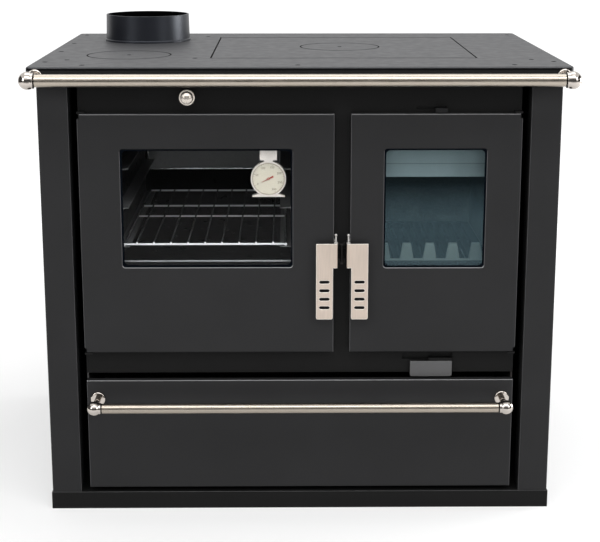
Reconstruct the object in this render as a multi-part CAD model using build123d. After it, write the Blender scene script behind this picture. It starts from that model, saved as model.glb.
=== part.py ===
from build123d import *
import os

# Wood cookstove: a welded steel carcass with an oven on the left and a firebox on the right,
# inside folded side casings, under a steel hob with lift-off plates, over a wood drawer.
# Millimetres. X is across the stove, the front faces -Y, and Z is up from the floor.

# ---------------------------------------------------------------- driving sizes
# casing and hob
body_w = 873.0            # over the side casings
body_d = 600.0            # pillar faces to rear panel
hob_side_lap = 13.5       # hob past the casing, each side
hob_end_lap = 20.0        # hob past the casing, front and rear
hob_z = 782.0             # height of the cooking surface
hob_t = 6.0
hob_corner_r = 10.0
hob_edge_r = 3.5
apron_h = 24.0            # folded rim below the hob plate
apron_t = 3.0
plinth_h = 31.0
plinth_proud = 1.5
stiffener_w = 60.0        # foot of the stiffener under the stove
casing_t = 2.0            # folded sheet of the casings
pillar_w = 51.0           # front face of a side casing
pillar_return = 38.0      # its fold back into the stove
rear_flange = 16.0
plate_t = 3.0             # welded carcass plate
front_plate_t = 4.0
side_gap = 14.0           # air slot between pillar and carcass
fascia_set = 16.0         # fascia behind the door faces
carcass_gap = 35.0        # carcass rear wall to the rear of the stove

# heights, counted up from the plinth and down from the hob
drawer_lift = 8.0         # plinth to drawer front
drawer_h = 198.0
drawer_top_gap = 9.0      # drawer front to carcass deck
mid_fascia_h = 41.5       # deck to the doors
top_fascia_h = 80.5       # doors to the cooking surface

# doors
mullion_x = 71.15         # middle of the gap between the doors
door_gap = 27.5
door_skin = 3.0
door_sheet = 2.0
door_depth = 13.0
door_edge_r = 2.0
hinge_inset = 7.0         # door edge to hinge pin
hinge_set = 4.5           # door face to hinge pin
hinge_pin_r = 2.5
fit = 0.05                # running fit of a pin, all round
window_edge = 14.0        # how far a glass laps behind its window
glass_t = 4.0
oven_window = (69.5, 70.0, 59.0, 151.0)    # left, right, top and bottom margins in the door
fire_window = (56.5, 58.0, 58.5, 150.0)
window_r = 5.0
bar_h = 12.0              # glass retaining bars
bar_t = 4.0
frame_margin = 8.0        # window to the edge of the inner frame
seal_w = 10.0
seal_t = 2.7

# handles
handle_w = 28.5
handle_h = 132.3
handle_z = 482.0          # top of the handles
handle_t = 2.0
handle_stand = 12.0       # door face to handle face
knuckle_h = 42.0          # rolled tab round the pin
knuckle_r = 2.8
handle_gap = 2.3          # handle plate to its knuckle
handle_pin_r = 1.5
handle_pin_off = 10.55    # middle of the mullion to handle pin
slot_w = 17.7
slot_h = 5.6
slot_pitch = 15.0
slot_count = 4
tongue_len = 18.0
keeper_r = 2.5
keeper_arm_t = 3.0
keeper_over = 6.0         # keeper above and below the tongues
keeper_plate_w = 12.0

# oven
oven_w = 298.0
oven_side = 71.4          # oven door edge to the oven's right wall
oven_floor_z = 437.0
oven_top_z = 668.0
oven_depth = 502.0
liner_t = 2.0
panel_in = 5.0            # pressed panel of the oven's back: margins, depth and corners
panel_rise = 77.0
panel_drop = 13.0
panel_t = 10.0
panel_r = 9.0
runner_w = 20.0
runner_levels = (469.2, 537.0, 604.0)
rack_wire_r = 1.5
rack_rod_r = 2.5
rack_bar_r = 2.2
rack_weld = 0.9           # wire axis above the top of the bars
rack_end = 3.0            # wires past the first and last bar
rack_side_gap = 10.5
rack_wire_pitch = 29.2
rack_bars = (14.0, 241.0, 335.0, 488.0)    # from the back of the front plate

# firebox
fire_mouth = (27.0, 29.5)                  # margins inside the fire door
fire_mouth_z = (308.0, 662.0)
brick_t = 28.0
brick_z = (425.0, 655.0)
firebox_depth = 397.0
grate_t = 12.0
grate_bar = 11.0
grate_slot = 8.0
retainer_t = 8.0
retainer_z = (443.0, 471.0)                # tooth roots and tooth tips
tooth_pitch = 39.8
tooth_tip = 13.8
tooth_root = 23.7
tooth_count = 5
duct_z = 586.0            # lower edge of the air-wash duct
duct_depth = 30.0
duct_clear = 6.0          # upper air slide to the duct's roof
ash_pan_w = 196.0
ash_pan_h = 96.0
ash_pan_l = 370.0
pan_t = 1.5
air_hole_count = 6
air_hole_r = 8.0

# flue and damper
flue_x = -295.0
flue_y = 172.0
flue_r = 77.0             # bore of the collar
flue_h = 51.0
flue_top_r = 80.5
flue_foot_r = 83.0
flue_stop = 2.0           # rim of the hob plate that the flue pipe stands on
divider_y = 80.0
divider_x = -120.0
damper_x = -187.5
damper_drop = 52.5        # cooking surface to damper rod
damper_rod_r = 4.0
damper_w = 110.0
damper_h = 84.0
port_margin = 10.0
hub_len = 12.0
hub_wall = 4.0
knob_r = 10.0
knob_rise = 6.0           # pillar faces to the middle of the knob's dome
knob_ring_r = 13.0
knob_ring_t = 4.0
knob_neck_r = 7.5

# hob openings
insert_x = (-155.0, 309.0)
insert_y = (-180.0, 221.0)
insert_t = 12.0
insert_gap = 1.5
seat = 10.0               # width of a ledge that carries a plate
ledge_t = 4.0
clear = 0.3               # a loose piece above its seat
lid_r = 73.4
lid_gap = 1.0
lid_t = 6.0
right_lid_at = (77.2, 28.0)
left_lid_at = (-301.0, -122.0)
lift_hole_r = 4.0

# front rail and drawer bar
rail_r = 10.35
rail_ball_r = 14.6
rail_ball_inset = 12.4    # hob edge to the middle of a ball
rail_post_inset = 16.0
rail_stand = 50.0         # apron face to rail
rail_drop = 16.4          # cooking surface to rail
rosette_r = 13.0
rosette_t = 4.0
rail_neck_r = 6.5
rail_ring_r = 12.9
bar_r = 8.65
bar_ball_r = 12.7
bar_x = 351.0
bar_stand = 50.0          # drawer face to bar
bar_drop = 33.5           # drawer top to bar
bar_neck_r = 5.5
bar_ring_r = 9.8

# air controls
air_tab_w = 73.0
air_tab_h = 28.0
air_tab_x = 227.5
air_tab_z = 268.0         # top of the tab
air_tab_stand = 8.0       # fascia to the tab's face
air_slot = (-49.7, 37.7, 270.0, 281.0)     # left and right of the tab's middle, and heights
air_neck = (-3.5, 36.5)                    # neck of the slide, from the tab's middle
primary_travel = 40.0
second_tab_x = 236.0
second_tab_w = 20.0
second_slot = (-41.0, 11.0)
second_travel = 30.0
slide_t = 2.0

# drawer
drawer_side = 1.5         # drawer front inside the carcass width
tray_inset = 23.0         # tray inside the carcass wall
tray_len = 485.0
tray_h = 178.0
runner_z = 44.0
runner_t = 3.0

# ---------------------------------------------------------------- derived places
front = -body_d / 2
back = body_d / 2
hob_w = body_w + 2 * hob_side_lap
hob_d = body_d + 2 * hob_end_lap
under = hob_z - hob_t                       # underside of the hob plate
core_x = body_w / 2 - pillar_w - side_gap   # outer face of the carcass
core_in = core_x - plate_t
fascia = front + fascia_set                 # face of the front plate
behind = fascia + front_plate_t             # back of the front plate
core_back = back - carcass_gap
core_back_in = core_back - plate_t
drawer_z = plinth_h + drawer_lift
drawer_top = drawer_z + drawer_h
deck_z = drawer_top + drawer_top_gap
door_z = deck_z + mid_fascia_h
door_top = hob_z - top_fascia_h
oven_door_x = (-core_x, mullion_x - door_gap / 2)
fire_door_x = (mullion_x + door_gap / 2, core_x)
door_back = front + door_depth
hinge_y = front + hinge_set
oven_x1 = oven_door_x[1] - oven_side
oven_x0 = oven_x1 - oven_w
oven_back = behind + oven_depth
fire_x0 = fire_door_x[0] + fire_mouth[0]
fire_x1 = fire_door_x[1] - fire_mouth[1]
part_x = fire_x0 - brick_t                  # firebox side of the partition
fire_back = behind + firebox_depth          # front face of the rear bricks
part_back = fire_back + brick_t
brick_right = core_in - brick_t
frame_low = hob_z - insert_t - clear - ledge_t        # underside of the insert's ledge
ring_low = hob_z - lid_t - hob_t / 2 - clear - ledge_t
ring_r = lid_r + lid_gap + seat
handle_y = front - handle_stand
damper_z = hob_z - damper_drop
rail_z = hob_z - rail_drop
rail_ball_x = hob_w / 2 - rail_ball_inset
rail_post_x = hob_w / 2 - rail_post_inset
apron_y = -hob_d / 2
rail_y = apron_y - rail_stand
bar_z = drawer_top - bar_drop
bar_y = front - bar_stand
grate_z = brick_z[0]
port_mid_z = (oven_top_z + liner_t + under) / 2
flap_y = divider_y - clear
rod_y0 = front + knob_rise


# ---------------------------------------------------------------- helpers
def block(x, y, z):
    """A box from three pairs of limits."""
    size = [b - a for a, b in (x, y, z)]
    mid = [(a + b) / 2 for a, b in (x, y, z)]
    return Pos(*mid) * Box(*size)


def post(x, y, z, r):
    """An upright cylinder between two heights."""
    return Pos(x, y, (z[0] + z[1]) / 2) * Cylinder(r, z[1] - z[0])


def bar_along_x(x, y, z, r):
    return Pos((x[0] + x[1]) / 2, y, z) * Rot(0, 90, 0) * Cylinder(r, x[1] - x[0])


def bar_along_y(x, y, z, r):
    return Pos(x, (y[0] + y[1]) / 2, z) * Rot(90, 0, 0) * Cylinder(r, y[1] - y[0])


def upright_slab(x, y, z, r):
    """A slab seen from the front as a rectangle with rounded corners."""
    face = Plane.XZ * RectangleRounded(x[1] - x[0], z[1] - z[0], r)
    slab = extrude(face, y[1] - y[0], both=False)
    box = slab.bounding_box().center()
    return Pos((x[0] + x[1]) / 2 - box.X, (y[0] + y[1]) / 2 - box.Y, (z[0] + z[1]) / 2 - box.Z) * slab


def flat_slab(w, d, z, r):
    """A level slab, centred on the stove, with rounded corners."""
    return Pos(0, 0, z[0]) * extrude(RectangleRounded(w, d, r), z[1] - z[0])


def mirrored(shape):
    return mirror(shape, about=Plane.YZ)


def edges_at(shape, axis, **place):
    """The edges along an axis whose middle lies at the given x, y or z."""
    found = shape.edges().filter_by(axis)
    for name, value in place.items():
        found = [e for e in found if abs(getattr(e.center(), name.upper()) - value) < 0.01]
    return found


def ledge_outline(z):
    """The outside of the frame that carries the loose hob plate."""
    x, y = insert_x, insert_y
    return block((x[0] - seat, x[1] + seat), (y[0] - seat, y[1] + seat), z)


def group(*shapes):
    """Several separate solids kept in one node."""
    return Compound(children=[s for shape in shapes for s in shape.solids()])


# ---------------------------------------------------------------- casing
def plinth():
    """A folded tray, open below, with a T-shaped stiffener across its middle."""
    x, y = body_w / 2 + plinth_proud, body_d / 2 + plinth_proud
    tray = block((-x, x), (-y, y), (0, plinth_h))
    tray = fillet(tray.edges().group_by(Axis.Z)[-1], plinth_proud * 0.6)
    tray -= block((-x + plate_t, x - plate_t), (-y + plate_t, y - plate_t), (0, plinth_h - plate_t))
    web = block((-plate_t / 2, plate_t / 2), (-y + plate_t, y - plate_t), (0, plinth_h - plate_t))
    foot = block((-stiffener_w / 2, stiffener_w / 2), (-y + plate_t, y - plate_t), (0, plate_t))
    return tray + web + foot


def side_casing():
    """Left casing: outer side, front pillar, its return, and a rear flange for the screws."""
    x0 = -body_w / 2
    height = (plinth_h, under)
    shape = block((x0, x0 + casing_t), (front, back - casing_t), height)
    shape += block((x0, x0 + pillar_w), (front, front + casing_t), height)
    shape += block((x0 + pillar_w - casing_t, x0 + pillar_w), (front, front + pillar_return), height)
    shape += block((x0, x0 + rear_flange), (back - 2 * casing_t, back - casing_t), height)
    shape = fillet(edges_at(shape, Axis.Z, x=x0, y=front), casing_t * 0.9)
    shape = fillet(edges_at(shape, Axis.Z, x=x0 + pillar_w, y=front), casing_t * 0.6)
    for z in rear_screw_heights:
        shape -= bar_along_y(x0 + rear_screw_in, (back - 3 * casing_t, back), z, rear_screw_r + screw_fit)
    return shape


rear_screw_in = rear_flange / 2 + casing_t / 2
rear_screw_r = 2.4
rear_head_r = 4.5
rear_head_t = 2.6
rear_screw_count = 5
rear_screw_z0 = plinth_h + 25
rear_screw_step = (under - 40 - rear_screw_z0) / (rear_screw_count - 1)
rear_screw_heights = [rear_screw_z0 + i * rear_screw_step for i in range(rear_screw_count)]


def rear_panel():
    x = body_w / 2
    shape = block((-x, x), (back - casing_t, back), (plinth_h, under))
    for z in rear_screw_heights:
        for side in (-1, 1):
            at = side * (x - rear_screw_in)
            shape -= bar_along_y(at, (back - 2 * casing_t, back + 1), z, rear_screw_r + screw_fit)
    return shape


def rear_screws():
    """Pan-head screws that hold the rear panel to the casing flanges."""
    made = []
    for z in rear_screw_heights:
        for side in (-1, 1):
            at = side * (body_w / 2 - rear_screw_in)
            head = bar_along_y(at, (back, back + rear_head_t), z, rear_head_r)
            head = fillet(head.edges().group_by(Axis.Y)[-1], 1.2)
            shank = bar_along_y(at, (back - 4 * casing_t, back), z, rear_screw_r)
            made.append(head + shank)
    return group(*made)


# ---------------------------------------------------------------- carcass
def carcass_walls():
    """The welded walls: left, right, rear, and the partition round the firebox."""
    height = (plinth_h, under)
    left = block((-core_x, -core_in), (behind, core_back), height)
    right = mirrored(left)
    rear = block((-core_x, core_x), (core_back_in, core_back), height)
    tall = (deck_z + plate_t, brick_z[1])
    side = block((part_x - plate_t, part_x), (behind, part_back + plate_t), tall)
    end = block((part_x - plate_t, core_in), (part_back, part_back + plate_t), tall)
    return left + right + rear + side + end - post(*left_lid_at, (ring_low, under + 1), ring_r)


def carcass_deck():
    """The floor of the smoke passages, above the wood drawer."""
    return block((-core_in, core_in), (behind, core_back_in), (deck_z, deck_z + plate_t))


guide_web = 2.0
guide_lip = 3.0
guide_t = 1.5
guide_end = 4.0           # guides reach past their slide's travel


def slide_guides(x, z):
    """Two folded strips that hold an air slide against the back of the front plate."""
    lap = slide_t + 2 * clear
    made = []
    for edge, sign in ((z[0] - clear, -1), (z[1] + clear, 1)):
        web = sorted((edge, edge + sign * guide_web))
        lip = sorted((edge - sign * guide_lip, edge + sign * guide_web))
        made.append(block(x, (behind, behind + lap + guide_t), web))
        made.append(block(x, (behind + lap, behind + lap + guide_t), lip))
    return made


oven_mouth_r = 4.0
fire_mouth_r = 6.0


def front_plate():
    """The welded face of the stove: oven mouth, fire mouth, air slots and the damper's hole."""
    shape = block((-core_x, core_x), (fascia, behind), (deck_z, under))
    through = (fascia - 1, behind + 1)
    shape -= upright_slab((oven_x0, oven_x1), through, (oven_floor_z, oven_top_z), oven_mouth_r)
    shape -= upright_slab((fire_x0, fire_x1), through, fire_mouth_z, fire_mouth_r)
    shape -= block((air_tab_x + air_slot[0], air_tab_x + air_slot[1]), through, air_slot[2:])
    shape -= block((second_tab_x + second_slot[0], second_tab_x + second_slot[1]), through, second_slot_z)
    shape -= bar_along_y(damper_x, through, damper_z, damper_rod_r + fit)
    for strip in slide_guides(primary_guides_x, primary_slide_z):
        shape += strip
    for strip in slide_guides(second_guides_x, second_slide_z):
        shape += strip
    return shape


# places of the air slides, behind the fascia
slide_lap = 5.0           # how far a slide covers its slot
primary_slide_z = (air_slot[2] - slide_lap, air_slot[3] + slide_lap)
primary_slide_x = (air_tab_x + air_slot[0] - slide_lap, air_tab_x + air_slot[1] + primary_travel)
primary_guides_x = (primary_slide_x[0] - primary_travel - guide_end, primary_slide_x[1] + guide_end)
arm_t = 2.0
second_lip_in = 2.0
second_lip_z = (door_top + 1.5, door_top + 9.0)
second_slot_z = (second_lip_z[1] - arm_t - 1.0, second_lip_z[1] + 1.0)
second_slide_z = (second_slot_z[0] - slide_lap, second_slot_z[1] + slide_lap)
second_slide_x = (second_tab_x + second_slot[0] - slide_lap, second_tab_x + second_slot[1] + second_travel)
second_guides_x = (second_slide_x[0] - second_travel - guide_end, second_slide_x[1] + guide_end)


def air_window(slot_end, travel, z):
    """Window of a slide, just past its slot while shut and inside the slot once it is open."""
    return block((slot_end + slide_lap, slot_end + travel - slide_lap), (behind, behind + slide_t + 1), z)


def primary_air_slide():
    """Slide behind the middle fascia, with a neck out through the slot and down to the tab."""
    y = (behind + clear, behind + clear + slide_t)
    plate = block(primary_slide_x, y, primary_slide_z)
    plate -= air_window(air_tab_x + air_slot[1], primary_travel, (air_slot[2], air_slot[3]))
    neck_x = [air_tab_x + n for n in air_neck]
    neck_z = (air_slot[2] + 1.0, air_slot[2] + 1.0 + arm_t)
    neck = block(neck_x, (tab_y[1], y[1]), neck_z)
    down = block(neck_x, (tab_y[1], tab_y[1] + arm_t), (air_tab_z - neck_lap, neck_z[1]))
    return plate + neck + down


tab_t = 2.0
tab_low_r = 3.0
tab_top_r = 1.0
tab_edge_r = 0.6
neck_lap = 12.0           # how far the neck goes down behind the tab
tab_y = (fascia - air_tab_stand, fascia - air_tab_stand + tab_t)


def primary_air_tab():
    """Bare name plate that is gripped to move the primary air slide."""
    half = air_tab_w / 2
    tab = block((air_tab_x - half, air_tab_x + half), tab_y, (air_tab_z - air_tab_h, air_tab_z))
    tab = fillet(edges_at(tab, Axis.Y, z=air_tab_z - air_tab_h), tab_low_r)
    tab = fillet(edges_at(tab, Axis.Y, z=air_tab_z), tab_top_r)
    return fillet(tab.faces().sort_by(Axis.Y)[0].edges(), tab_edge_r)


def secondary_air_slide():
    """Slide behind the top fascia, with a small folded lip above the fire door."""
    y = (behind + clear, behind + clear + slide_t)
    plate = block(second_slide_x, y, second_slide_z)
    plate -= air_window(second_tab_x + second_slot[1], second_travel, second_slot_z)
    x = (second_tab_x - second_tab_w / 2, second_tab_x + second_tab_w / 2)
    lip_y = front + second_lip_in
    arm = block(x, (lip_y, y[1]), (second_lip_z[1] - arm_t, second_lip_z[1]))
    lip = block(x, (lip_y, lip_y + arm_t), second_lip_z)
    return plate + arm + lip


def air_wash_duct():
    """Folded sheet inside the fire mouth that leads secondary air down over the glass."""
    x = (fire_x0 + clear, brick_right - clear)
    duct_y = behind + duct_depth
    top = second_slide_z[1] + duct_clear
    shape = block(x, (duct_y, duct_y + liner_t), (duct_z, top))
    shape += block(x, (behind, duct_y + liner_t), (top - liner_t, top))
    return shape


lug_t = 3.0
lug_reach = 6.0
lug_gap = 0.7             # between a lug and its door
pin_h = 9.5


def door_hinges():
    """Four lugs on the front plate, each with an upright pin in a door's corner."""
    made = []
    for side in (-1, 1):
        pin_x = side * (core_x - hinge_inset)
        edges = sorted((side * core_x, pin_x - side * lug_reach))
        for z, way in ((door_top + lug_gap, -1), (door_z - lug_gap, 1)):
            lug = block(edges, (front + 0.5, fascia), sorted((z, z - way * lug_t)))
            pin = post(pin_x, hinge_y, sorted((z, z + way * pin_h)), hinge_pin_r)
            made.append(lug + pin)
    return group(*made)


def door_keeper():
    """Upright rod between the doors, beside which both latch tongues lie."""
    z = (tongue_z[0] - keeper_over, tongue_z[1] + keeper_over)
    arm_x = (mullion_x - keeper_r, mullion_x + keeper_r)
    arm_y = (keeper_y - keeper_r, fascia)
    plate_x = (mullion_x - keeper_plate_w / 2, mullion_x + keeper_plate_w / 2)
    shape = post(mullion_x, keeper_y, z, keeper_r)
    for low in (z[0] - keeper_arm_t, z[1]):
        shape += block(arm_x, arm_y, (low, low + keeper_arm_t))
    return shape + block(plate_x, (fascia - guide_t, fascia), (z[0] - keeper_arm_t, z[1] + keeper_arm_t))


# ---------------------------------------------------------------- oven
def oven_box():
    """Welded liner: floor, roof, two sides, and a back with a pressed panel in its upper part."""
    x = (oven_x0 - liner_t, oven_x1 + liner_t)
    z = (oven_floor_z - liner_t, oven_top_z + liner_t)
    shape = block(x, (behind, oven_back + liner_t), z)
    shape -= block((oven_x0, oven_x1), (behind - 1, oven_back), (oven_floor_z, oven_top_z))
    x = (oven_x0 + panel_in, oven_x1 - panel_in)
    z = (oven_floor_z + panel_rise, oven_top_z - panel_drop)
    panel = upright_slab(x, (oven_back - panel_t, oven_back), z, panel_r)
    panel = fillet(panel.faces().sort_by(Axis.Y)[0].edges(), panel_t * 0.4)
    return shape + panel


ledge_front_gap = 10.0
ledge_back_gap = 12.0
ledge_drop = 9.0


def oven_runners():
    """Pressed ledges on both oven walls, three levels."""
    made = []
    length = (behind + ledge_front_gap, oven_back - ledge_back_gap)
    for z in runner_levels:
        for x in ((oven_x0, oven_x0 + runner_w), (oven_x1 - runner_w, oven_x1)):
            ledge = block(x, length, (z - liner_t, z))
            wall = x[0] if x[0] == oven_x0 else x[1] - liner_t
            made.append(ledge + block((wall, wall + liner_t), length, (z - ledge_drop, z)))
    return group(*made)


def oven_rack():
    """Chromed wire shelf: cross bars, two side rods, and wires welded on top."""
    middle = (oven_x0 + oven_x1) / 2
    half = oven_w / 2 - rack_side_gap
    z = runner_levels[0] + clear + rack_rod_r
    ys = [behind + b for b in rack_bars]
    wires = int((2 * half) / rack_wire_pitch)
    length = (ys[0] - rack_end, ys[-1] + rack_end)
    shape = bar_along_y(middle - half, length, z, rack_rod_r)
    shape += bar_along_y(middle + half, length, z, rack_rod_r)
    for y in ys:
        shape += bar_along_x((middle - half, middle + half), y, z, rack_bar_r)
    for i in range(wires):
        x = middle + (i - (wires - 1) / 2) * rack_wire_pitch
        shape += bar_along_y(x, length, z + rack_bar_r + rack_weld, rack_wire_r)
    return shape


# ---------------------------------------------------------------- firebox
brick_gap = 2.0           # front plate to the side bricks
brick_edge = 1.0


def firebricks():
    """Three slabs of brick round the fire: left, right and rear."""
    z = brick_z
    side_y = (behind + brick_gap, part_back)
    left = block((part_x, part_x + brick_t), side_y, z)
    right = block((brick_right, core_in), side_y, z)
    rear = block((part_x + brick_t, brick_right), (fire_back, part_back), z)
    return group(*[chamfer(b.edges().filter_by(Axis.Z), brick_edge) for b in (left, right, rear)])


grate_side = (10.0, 8.0)  # bricks to the grate
grate_end = (38.0, 48.0)  # front plate and rear brick to the grate
grate_x = (part_x + brick_t + grate_side[0], brick_right - grate_side[1])
grate_y = (behind + grate_end[0], fire_back - grate_end[1])
grate_lap = 12.0


def grate_frame():
    """Shelf plate under the bricks, with the opening that the grate lies over."""
    shape = block((part_x, core_in), (behind, part_back), (grate_z - plate_t, grate_z))
    hole_x = (grate_x[0] + grate_lap, grate_x[1] - grate_lap)
    hole_y = (grate_y[0] + grate_lap, grate_y[1] - grate_lap)
    return shape - block(hole_x, hole_y, (grate_z - plate_t - 1, grate_z + 1))


def fire_grate():
    """Cast-iron grate: a plate with long slots."""
    shape = block(grate_x, grate_y, (grate_z, grate_z + grate_t))
    pitch = grate_bar + grate_slot
    span = grate_x[1] - grate_x[0] - 2 * grate_lap
    count = int((span + grate_bar) / pitch)
    middle = (grate_x[0] + grate_x[1]) / 2
    mid_y = (grate_y[0] + grate_y[1]) / 2
    front_row = (grate_y[0] + grate_lap, mid_y - grate_bar / 2)
    rear_row = (mid_y + grate_bar / 2, grate_y[1] - grate_lap)
    through = (grate_z - 1, grate_z + grate_t + 1)
    for i in range(count):
        x = middle + (i - (count - 1) / 2) * pitch
        for y in (front_row, rear_row):
            shape -= block((x - grate_slot / 2, x + grate_slot / 2), y, through)
    return shape


tooth_shift = 2.4         # teeth sit left of the mouth's middle
retainer_gap = 3.0
retainer_in = 18.0


def log_retainer():
    """Toothed cast plate that keeps the logs off the glass."""
    middle = (fire_x0 + fire_x1) / 2 - tooth_shift
    x = (part_x + brick_t + retainer_gap, brick_right - retainer_gap)
    y = (behind + retainer_in, behind + retainer_in + retainer_t)
    shape = block(x, y, (grate_z, retainer_z[0]))
    rise = retainer_z[1] - retainer_z[0]
    for i in range(tooth_count):
        at = middle + (i - (tooth_count - 1) / 2) * tooth_pitch
        outline = Polyline(
            (at - tooth_root / 2, retainer_z[0]),
            (at + tooth_root / 2, retainer_z[0]),
            (at + tooth_tip / 2, retainer_z[0] + rise),
            (at - tooth_tip / 2, retainer_z[0] + rise),
            close=True,
        )
        tooth = extrude(Plane.XZ * make_face(outline), -retainer_t)
        shape += Pos(0, y[0] - tooth.bounding_box().min.Y, 0) * tooth
    return shape


air_hole_in = 22.0


def ash_floor():
    """Floor plate of the ash compartment, with air holes behind the ash pan."""
    z = fire_mouth_z[0]
    shape = block((part_x, core_in), (behind, part_back), (z - plate_t, z))
    pitch = (core_in - part_x) / (air_hole_count + 1)
    for i in range(air_hole_count):
        x = part_x + (i + 1) * pitch
        shape -= post(x, part_back - air_hole_in, (z - plate_t - 1, z + 1), air_hole_r)
    return shape


pan_in = 8.0              # front plate to the ash pan
pan_x = ((fire_x0 + fire_x1 - ash_pan_w) / 2, (fire_x0 + fire_x1 + ash_pan_w) / 2)
pan_y = (behind + pan_in, behind + pan_in + ash_pan_l)
pan_z = (fire_mouth_z[0], fire_mouth_z[0] + ash_pan_h)
grip_w = 70.0
grip_out = 10.0
grip_drop = 10.0
grip_below = 12.0         # pan's rim to the top of the grip
grip_t = 2.0


def ash_pan():
    """Open sheet box under the grate."""
    hollow_y = (pan_y[0] + pan_t, pan_y[1] - pan_t)
    hollow = block((pan_x[0] + pan_t, pan_x[1] - pan_t), hollow_y, (pan_z[0] + pan_t, pan_z[1] + 1))
    return block(pan_x, pan_y, pan_z) - hollow


def ash_pan_grip():
    """Folded strip welded to the front of the ash pan, gripped with the cold hand tool."""
    middle = (fire_x0 + fire_x1) / 2
    x = (middle - grip_w / 2, middle + grip_w / 2)
    top = pan_z[1] - grip_below
    outer = pan_y[0] - grip_out
    shape = block(x, (outer, pan_y[0]), (top - grip_t, top))
    return shape + block(x, (outer, outer + grip_t), (top - grip_drop, top))


# ---------------------------------------------------------------- flue and damper
def smoke_divider():
    """Plate over the oven that closes off the flue corner, with the damper's port."""
    z = (oven_top_z + liner_t, under)
    shape = block((-core_in, divider_x), (divider_y, divider_y + plate_t), z)
    shape += block((divider_x - plate_t, divider_x), (divider_y, core_back_in), z)
    port_x = damper_w / 2 - port_margin
    port_z = damper_h / 2 - port_margin
    port = block((damper_x - port_x, damper_x + port_x), (divider_y - 1, divider_y + plate_t + 1),
                 (port_mid_z - port_z, port_mid_z + port_z))
    return shape - port - ledge_outline((frame_low, under + 1))


def damper_flap():
    """Flat shutter with a hub, standing in front of the port."""
    z = (port_mid_z - damper_h / 2, port_mid_z + damper_h / 2)
    face = flap_y - liner_t
    shape = block((damper_x - damper_w / 2, damper_x + damper_w / 2), (face, flap_y), z)
    hub = bar_along_y(damper_x, (face - hub_len, face), damper_z, damper_rod_r + hub_wall)
    socket = bar_along_y(damper_x, (face - hub_len - 1, face), damper_z, damper_rod_r)
    return shape + hub - socket


def damper_rod():
    return bar_along_y(damper_x, (rod_y0, flap_y - liner_t), damper_z, damper_rod_r)


def damper_knob():
    """Turned knob: a dome in front of a flat ring, on a short neck."""
    dome = Pos(damper_x, front - knob_rise, damper_z) * Sphere(knob_r)
    ring = bar_along_y(damper_x, (front - knob_ring_t, front), damper_z, knob_ring_r)
    ring = fillet(ring.edges().group_by(Axis.Y)[0], knob_ring_t * 0.3)
    neck = bar_along_y(damper_x, (front, fascia - 2 * clear), damper_z, knob_neck_r)
    socket = bar_along_y(damper_x, (rod_y0, fascia), damper_z, damper_rod_r)
    return dome + ring + neck - socket


flue_foot_h = 3.0
flue_foot_step = 1.2


def flue_collar():
    """Cast collar over the flue opening, bored straight and tapered outside."""
    foot, step = flue_foot_h, flue_foot_step
    outline = Polyline(
        (flue_r, 0), (flue_foot_r, 0), (flue_foot_r, foot), (flue_foot_r - step, foot + step),
        (flue_top_r, flue_h), (flue_r, flue_h), close=True,
    )
    ring = revolve(Plane.XZ * make_face(outline), Axis.Z)
    return Pos(flue_x, flue_y, hob_z) * ring


# ---------------------------------------------------------------- hob
screw_in = 20.0           # side screws from the hob's edge
front_screw_in = 30.0
corner_screw_in = (52.0, 114.0)
insert_screw_in = 26.0    # insert opening to the screws beside it
side_x = hob_w / 2 - screw_in
corner_x = hob_w / 2 - corner_screw_in[0]
side_screws_left = (60.0, 238.0, 395.0)   # from the front
side_screws_right = (60.0,)
rear_screw_gap = 25.0
front_screws_x = (-361.0, -4.0, 356.0)
hob_screws = [
    (-side_x, back - rear_screw_gap), (side_x, back - rear_screw_gap),
    (-corner_x, apron_y + corner_screw_in[1]), (corner_x, apron_y + corner_screw_in[1]),
    (insert_x[0] - insert_screw_in, insert_y[0]),
    (insert_x[0] - insert_screw_in, insert_y[1] + insert_screw_in),
]
hob_screws += [(-side_x, front + y) for y in side_screws_left]
hob_screws += [(side_x, front + y) for y in side_screws_right]
hob_screws += [(x, apron_y + front_screw_in) for x in front_screws_x]
screw_head_r = 4.5
screw_shank_r = 2.4
screw_head_t = 2.6
screw_fit = 0.1
screw_reach = 8.0         # shank below the hob plate
drive_r = 1.9
drive_depth = 1.6


def hob_plate():
    """Machined steel plate with the insert opening, one lid opening and the flue opening."""
    z = (under, hob_z)
    shape = flat_slab(hob_w, hob_d, z, hob_corner_r)
    shape = fillet(shape.faces().sort_by(Axis.Z)[-1].edges(), hob_edge_r)
    through = (under - 1, hob_z + 1)
    shape -= block((insert_x[0], insert_x[1]), insert_y, through)
    shape -= post(*left_lid_at, through, lid_r + lid_gap)
    shape -= post(flue_x, flue_y, through, flue_r - flue_stop)
    hole_r = screw_shank_r + screw_fit
    sink_r = screw_head_r + screw_fit
    for x, y in hob_screws:
        shape -= post(x, y, through, hole_r)
        shape -= Pos(x, y, hob_z - screw_head_t / 2) * Cone(hole_r, sink_r, screw_head_t)
    return shape


def hob_apron():
    """Folded rim below the edge of the hob plate."""
    z = (under - apron_h, under)
    inner = (under - apron_h - 1, under + 1)
    return flat_slab(hob_w, hob_d, z, hob_corner_r) - flat_slab(
        hob_w - 2 * apron_t, hob_d - 2 * apron_t, inner, hob_corner_r - apron_t)


def hob_ledges():
    """Frame under the insert opening and ring under the left lid, which carry them."""
    x, y = insert_x, insert_y
    frame = ledge_outline((frame_low, under))
    frame -= block(x, y, (frame_low + ledge_t, under + 1))
    frame -= block((x[0] + seat, x[1] - seat), (y[0] + seat, y[1] - seat), (frame_low - 1, under + 1))
    ring = post(*left_lid_at, (ring_low, under), ring_r)
    ring -= post(*left_lid_at, (ring_low + ledge_t, under + 1), lid_r + lid_gap)
    ring -= post(*left_lid_at, (ring_low - 1, under + 1), lid_r - seat)
    return group(frame, ring)


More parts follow.
